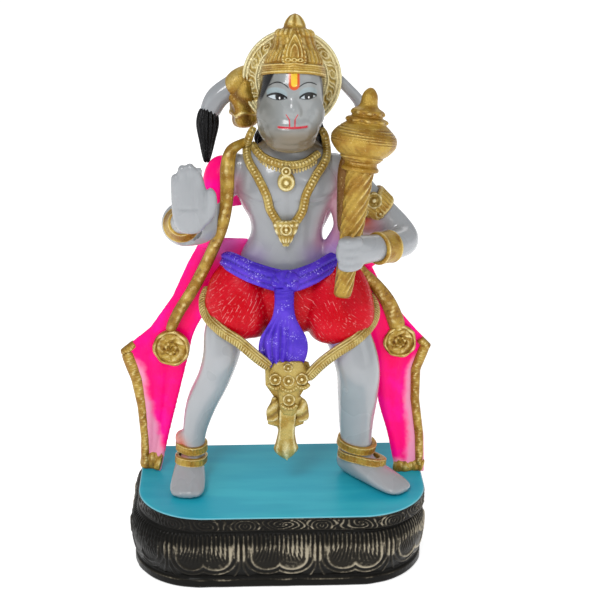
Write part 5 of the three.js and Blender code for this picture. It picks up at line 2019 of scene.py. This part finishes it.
def petal_relief(s, z):
    """Hearts with two lobes below: d is the distance from a pair of circles, open upwards, and
    ridges follow d = 0 and d = 3. Stems stand between hearts, and flutes hang above.
    """
    a = (s + pitch / 2) % pitch - pitch / 2
    h = z - FOOT_HEIGHT
    spread = 0.05 * np.maximum(h - 14.2, 0) ** 1.3
    d = np.hypot(np.abs(a) - 6.4 - spread, np.minimum(h - 14.2, 0)) - 8.2
    d = np.where((np.abs(a) < 6.4 + spread) & (h >= 14.2), -8.2, d)
    swollen = np.exp(-(np.maximum(d + 1.5, 0) / 2.6) ** 2)
    lines = ridge(d, 0.75) + 0.9 * ridge(d - 3.1, 0.8)
    aside = pitch / 2 - np.abs(a)
    stem = ridge(aside - 0.9 - 0.07 * np.maximum(10 - h, 0) ** 1.7, 0.75)
    stem = stem * smoothstep(h, 0.2, 1.4)
    reach = 16.5 + 2.2 * np.sin(2.6 * a) * (d < 0) - 2.6 * (np.abs(a) / 12) ** 2
    flutes = (0.5 + 0.5 * np.cos(2 * np.pi * a / 2.3)) ** 1.5 * smoothstep(h - reach, 0, 2.4)
    flutes = flutes * smoothstep(h, 26.8, 25.4)
    quiet = smoothstep(h, 23, 19)
    veins = np.cos(2 * np.pi * (np.abs(a) + 0.16 * (h - 16) * np.abs(a) / 4) / 1.7)
    bumps = 0.25 * veins * smoothstep(d, -1.6, -3.2) * smoothstep(h, 9, 14)
    return quiet * (0.5 * swollen + lines * (d < 6) + 0.8 * stem + bumps) + 0.9 * flutes


def frieze_relief(s, z):
    """Fans and scrolls by turns: ripples round an oval centre, with crossing stems between."""
    a = (s + pitch / 2) % pitch - pitch / 2
    h = z - FRIEZE_FOOT
    bent = a + 1.1 * np.sin(0.8 * h + 0.21 * s)
    oval = np.hypot(bent / 2.0, h - 4.4)
    spin = np.arctan2(h - 4.4, bent / 2.0) / np.pi
    fan = ridge((oval + 1.5 * spin + 0.35) % 1.5 - 0.75, 0.34) * smoothstep(oval, 5.8, 5.2)
    side = pitch / 2 - np.abs(a)
    twist = np.hypot(side / 1.5, h - 4.0) + 0.7 * np.arctan2(h - 4.0, side + 0.1)
    scroll = ridge((twist + 0.3) % 1.5 - 0.75, 0.36) * smoothstep(oval, 5.6, 6.4)
    stems = ridge(np.abs(bent) - 11.2 - 1.2 * np.abs(h - 4.2), 0.6)
    frame_lines = ridge(h - 0.8, 0.45) + ridge(h - 7.7, 0.4)
    inside = between(h, 1.0, 1.7, 6.6, 7.2)
    return inside * (fan + 0.9 * scroll + 0.7 * stems) + 0.8 * frame_lines


print("one petal every", round(pitch, 1), "mm")

# %% Plinth's side and underside
# each pair: height, and how far inside the outline the side lies there
LEVELS = np.array(
    [
        (0.0, 2.6), (0.9, 1.8), (4.4, 1.8), (5.0, 2.3), (5.5, 3.0), (8.0, 2.0), (12.0, 0.9),
        (17.0, 0.35), (22.0, 0.35), (26.0, 0.6), (29.0, 1.3), (31.0, 2.4), (32.2, 3.8), (33.3, 3.9),
        (34.2, 2.5), (40.9, 2.5), (41.5, 3.1),
    ]
)
heights = np.concatenate([np.linspace(0, 5.4, 12)[:-1], np.linspace(5.4, 41.5, 70)])
inset = np.interp(heights, LEVELS[:, 0], LEVELS[:, 1])
s, z = along_side[None, :], heights[:, None]
# petals are a little wider in front than behind
FRONT_STRETCH = 0.04
s = s - FRONT_STRETCH * perimeter / (2 * np.pi) * np.sin(2 * np.pi * s / perimeter)
petal_part = between(z, 5.2, 6.4, 31.6, 32.4)
frieze_part = between(z, 33.8, 34.4, 41.0, 41.4)
foot_dents = np.sin(0.31 * s + 2 * np.sin(0.13 * s)) * smoothstep(z, 5.2, 4.0)
petals, frieze = petal_relief(s, z), frieze_relief(s, z)
pattern = petal_part * petals + frieze_part * frieze
carving = 0.75 * petal_part * (petals - 0.75) + 0.08 * foot_dents
carving = carving + 0.55 * frieze_part * (frieze - 0.5)
shift = BAND_SHIFT * smoothstep(z, 33.2, 32.4)
out = (carving - inset[:, None])[..., None] * outward[None]
rows = np.concatenate([outline[None] + out, np.broadcast_to(z, carving.shape)[..., None]], -1)
rows[..., 0] += shift
points, quads, tris, _ = sewn(rows)
foot_line = ridge(z - 4.6, 0.5) + 0 * s
wear = 0.92 + 0.14 * np.sin(0.055 * s + 1.1) * np.sin(0.13 * s)
# the silver is rubbed thinnest near the left front corner
DULL_PLACE, DULL_REACH = 78, 44
wear = wear - 0.7 * ridge(s - perimeter + DULL_PLACE, DULL_REACH)
tone = np.clip(0.05 + 0.64 * pattern * wear + foot_line * (0.4 + 0.3 * foot_dents), 0, 1)
tone = np.concatenate([tone.ravel(), [0.2, 0.2]])
print("side carved from", round(float(carving.min()), 2), "to", round(float(carving.max()), 2), "mm")
side_mesh = mesh_of("plinth_side", points * millimetre, quads, tris)
keep_layer(side_mesh, "relief", tone)

# %% [markdown]
# The plinth is finished as old pewter: nearly black in the hollows, with a dry silver rubbed over
# whatever stands proud. Real metal would shine all over, but this is paint, so it is only half
# metallic, and the rub follows the carving and fades in cloudy patches.

# %% Pewter finish
PEWTER_SOCKETS = {"Metallic": 0.5, "Coat Weight": 0.06, "Specular IOR Level": 0.2}
pewter = Finish("rubbed_pewter", PEWTER_SOCKETS)
_, _, _, at = pewter.place()
relief = pewter.layer("relief")
grain, patches = pewter.noise(at, 1.6, 4.0), pewter.noise(at, 15.0)
rub = (relief + grain * 0.7 + patches * 0.8).step(1.12, 1.75)
body = pewter.mix(relief.step(0.1, 0.8), tint(11, 10, 7), tint(56, 51, 41))
pewter.colour(pewter.mix(rub * 0.9, body, tint(176, 166, 144)))
pewter.rough(0.4 - rub * 0.1)
pewter.bump(grain + patches, 0.35, 0.7)
hand_over(side_mesh, pewter, node="lotus_plinth")

# %% [markdown]
# The deck is satin turquoise, brushed along the plinth, a little lighter at its rim and darker at the
# back. It could be a flat cap on the side's mesh, but then two paints would share one piece. So it is a
# lid of its own: rings that shrink from the plinth's outline to its middle.

# %% Deck
DECK_INSET, DECK_RINGS = 2.75, 40
ring_share = np.concatenate([[1.0, 1.0, 0.995], np.linspace(0.99, 0.02, DECK_RINGS)])
deck_height = np.concatenate([[41.1, 41.5, 41.9], np.full(DECK_RINGS, PLINTH_HEIGHT)])
edge = (outline - DECK_INSET * outward)[::3]
flat = ring_share[:, None, None] * edge[None]
level = np.broadcast_to(deck_height[:, None, None], (*flat.shape[:2], 1))
rows = np.concatenate([flat, level], -1)
points, quads, tris, _ = sewn(rows)
deck_mesh = mesh_of("deck", points * millimetre, quads, tris)
rim = np.concatenate([np.repeat(smoothstep(ring_share, 0.99, 1.0), len(edge)), [1.0, 0.0]])
keep_layer(deck_mesh, "rim", rim)
print("deck rings of", len(edge), "points")

# %% Deck's paint
turquoise = Finish("turquoise_enamel", {"Specular IOR Level": 0.16})
x, y, z, at = turquoise.place()
streaks = turquoise.node("Mapping", sockets={"Vector": at, "Scale": (0.35, 1.6, 1.0)})
clouds = turquoise.noise(streaks, 22.0, 3.0)
body = turquoise.mix(clouds.step(0.35, 0.7), tint(34, 172, 198), tint(56, 188, 208))
behind = (y + clouds * 14.0).step(4.0, 50.0)
body = turquoise.mix(behind * 0.25, body, tint(50, 120, 134))
turquoise.colour(turquoise.mix(turquoise.layer("rim") * 0.4, body, tint(176, 204, 206)))
turquoise.rough(0.3 + clouds * 0.12)
turquoise.bump(turquoise.noise(at, 5.0, 2.0), 0.12, 0.4)
hand_over(deck_mesh, turquoise, node="lotus_plinth")

# %% [markdown]
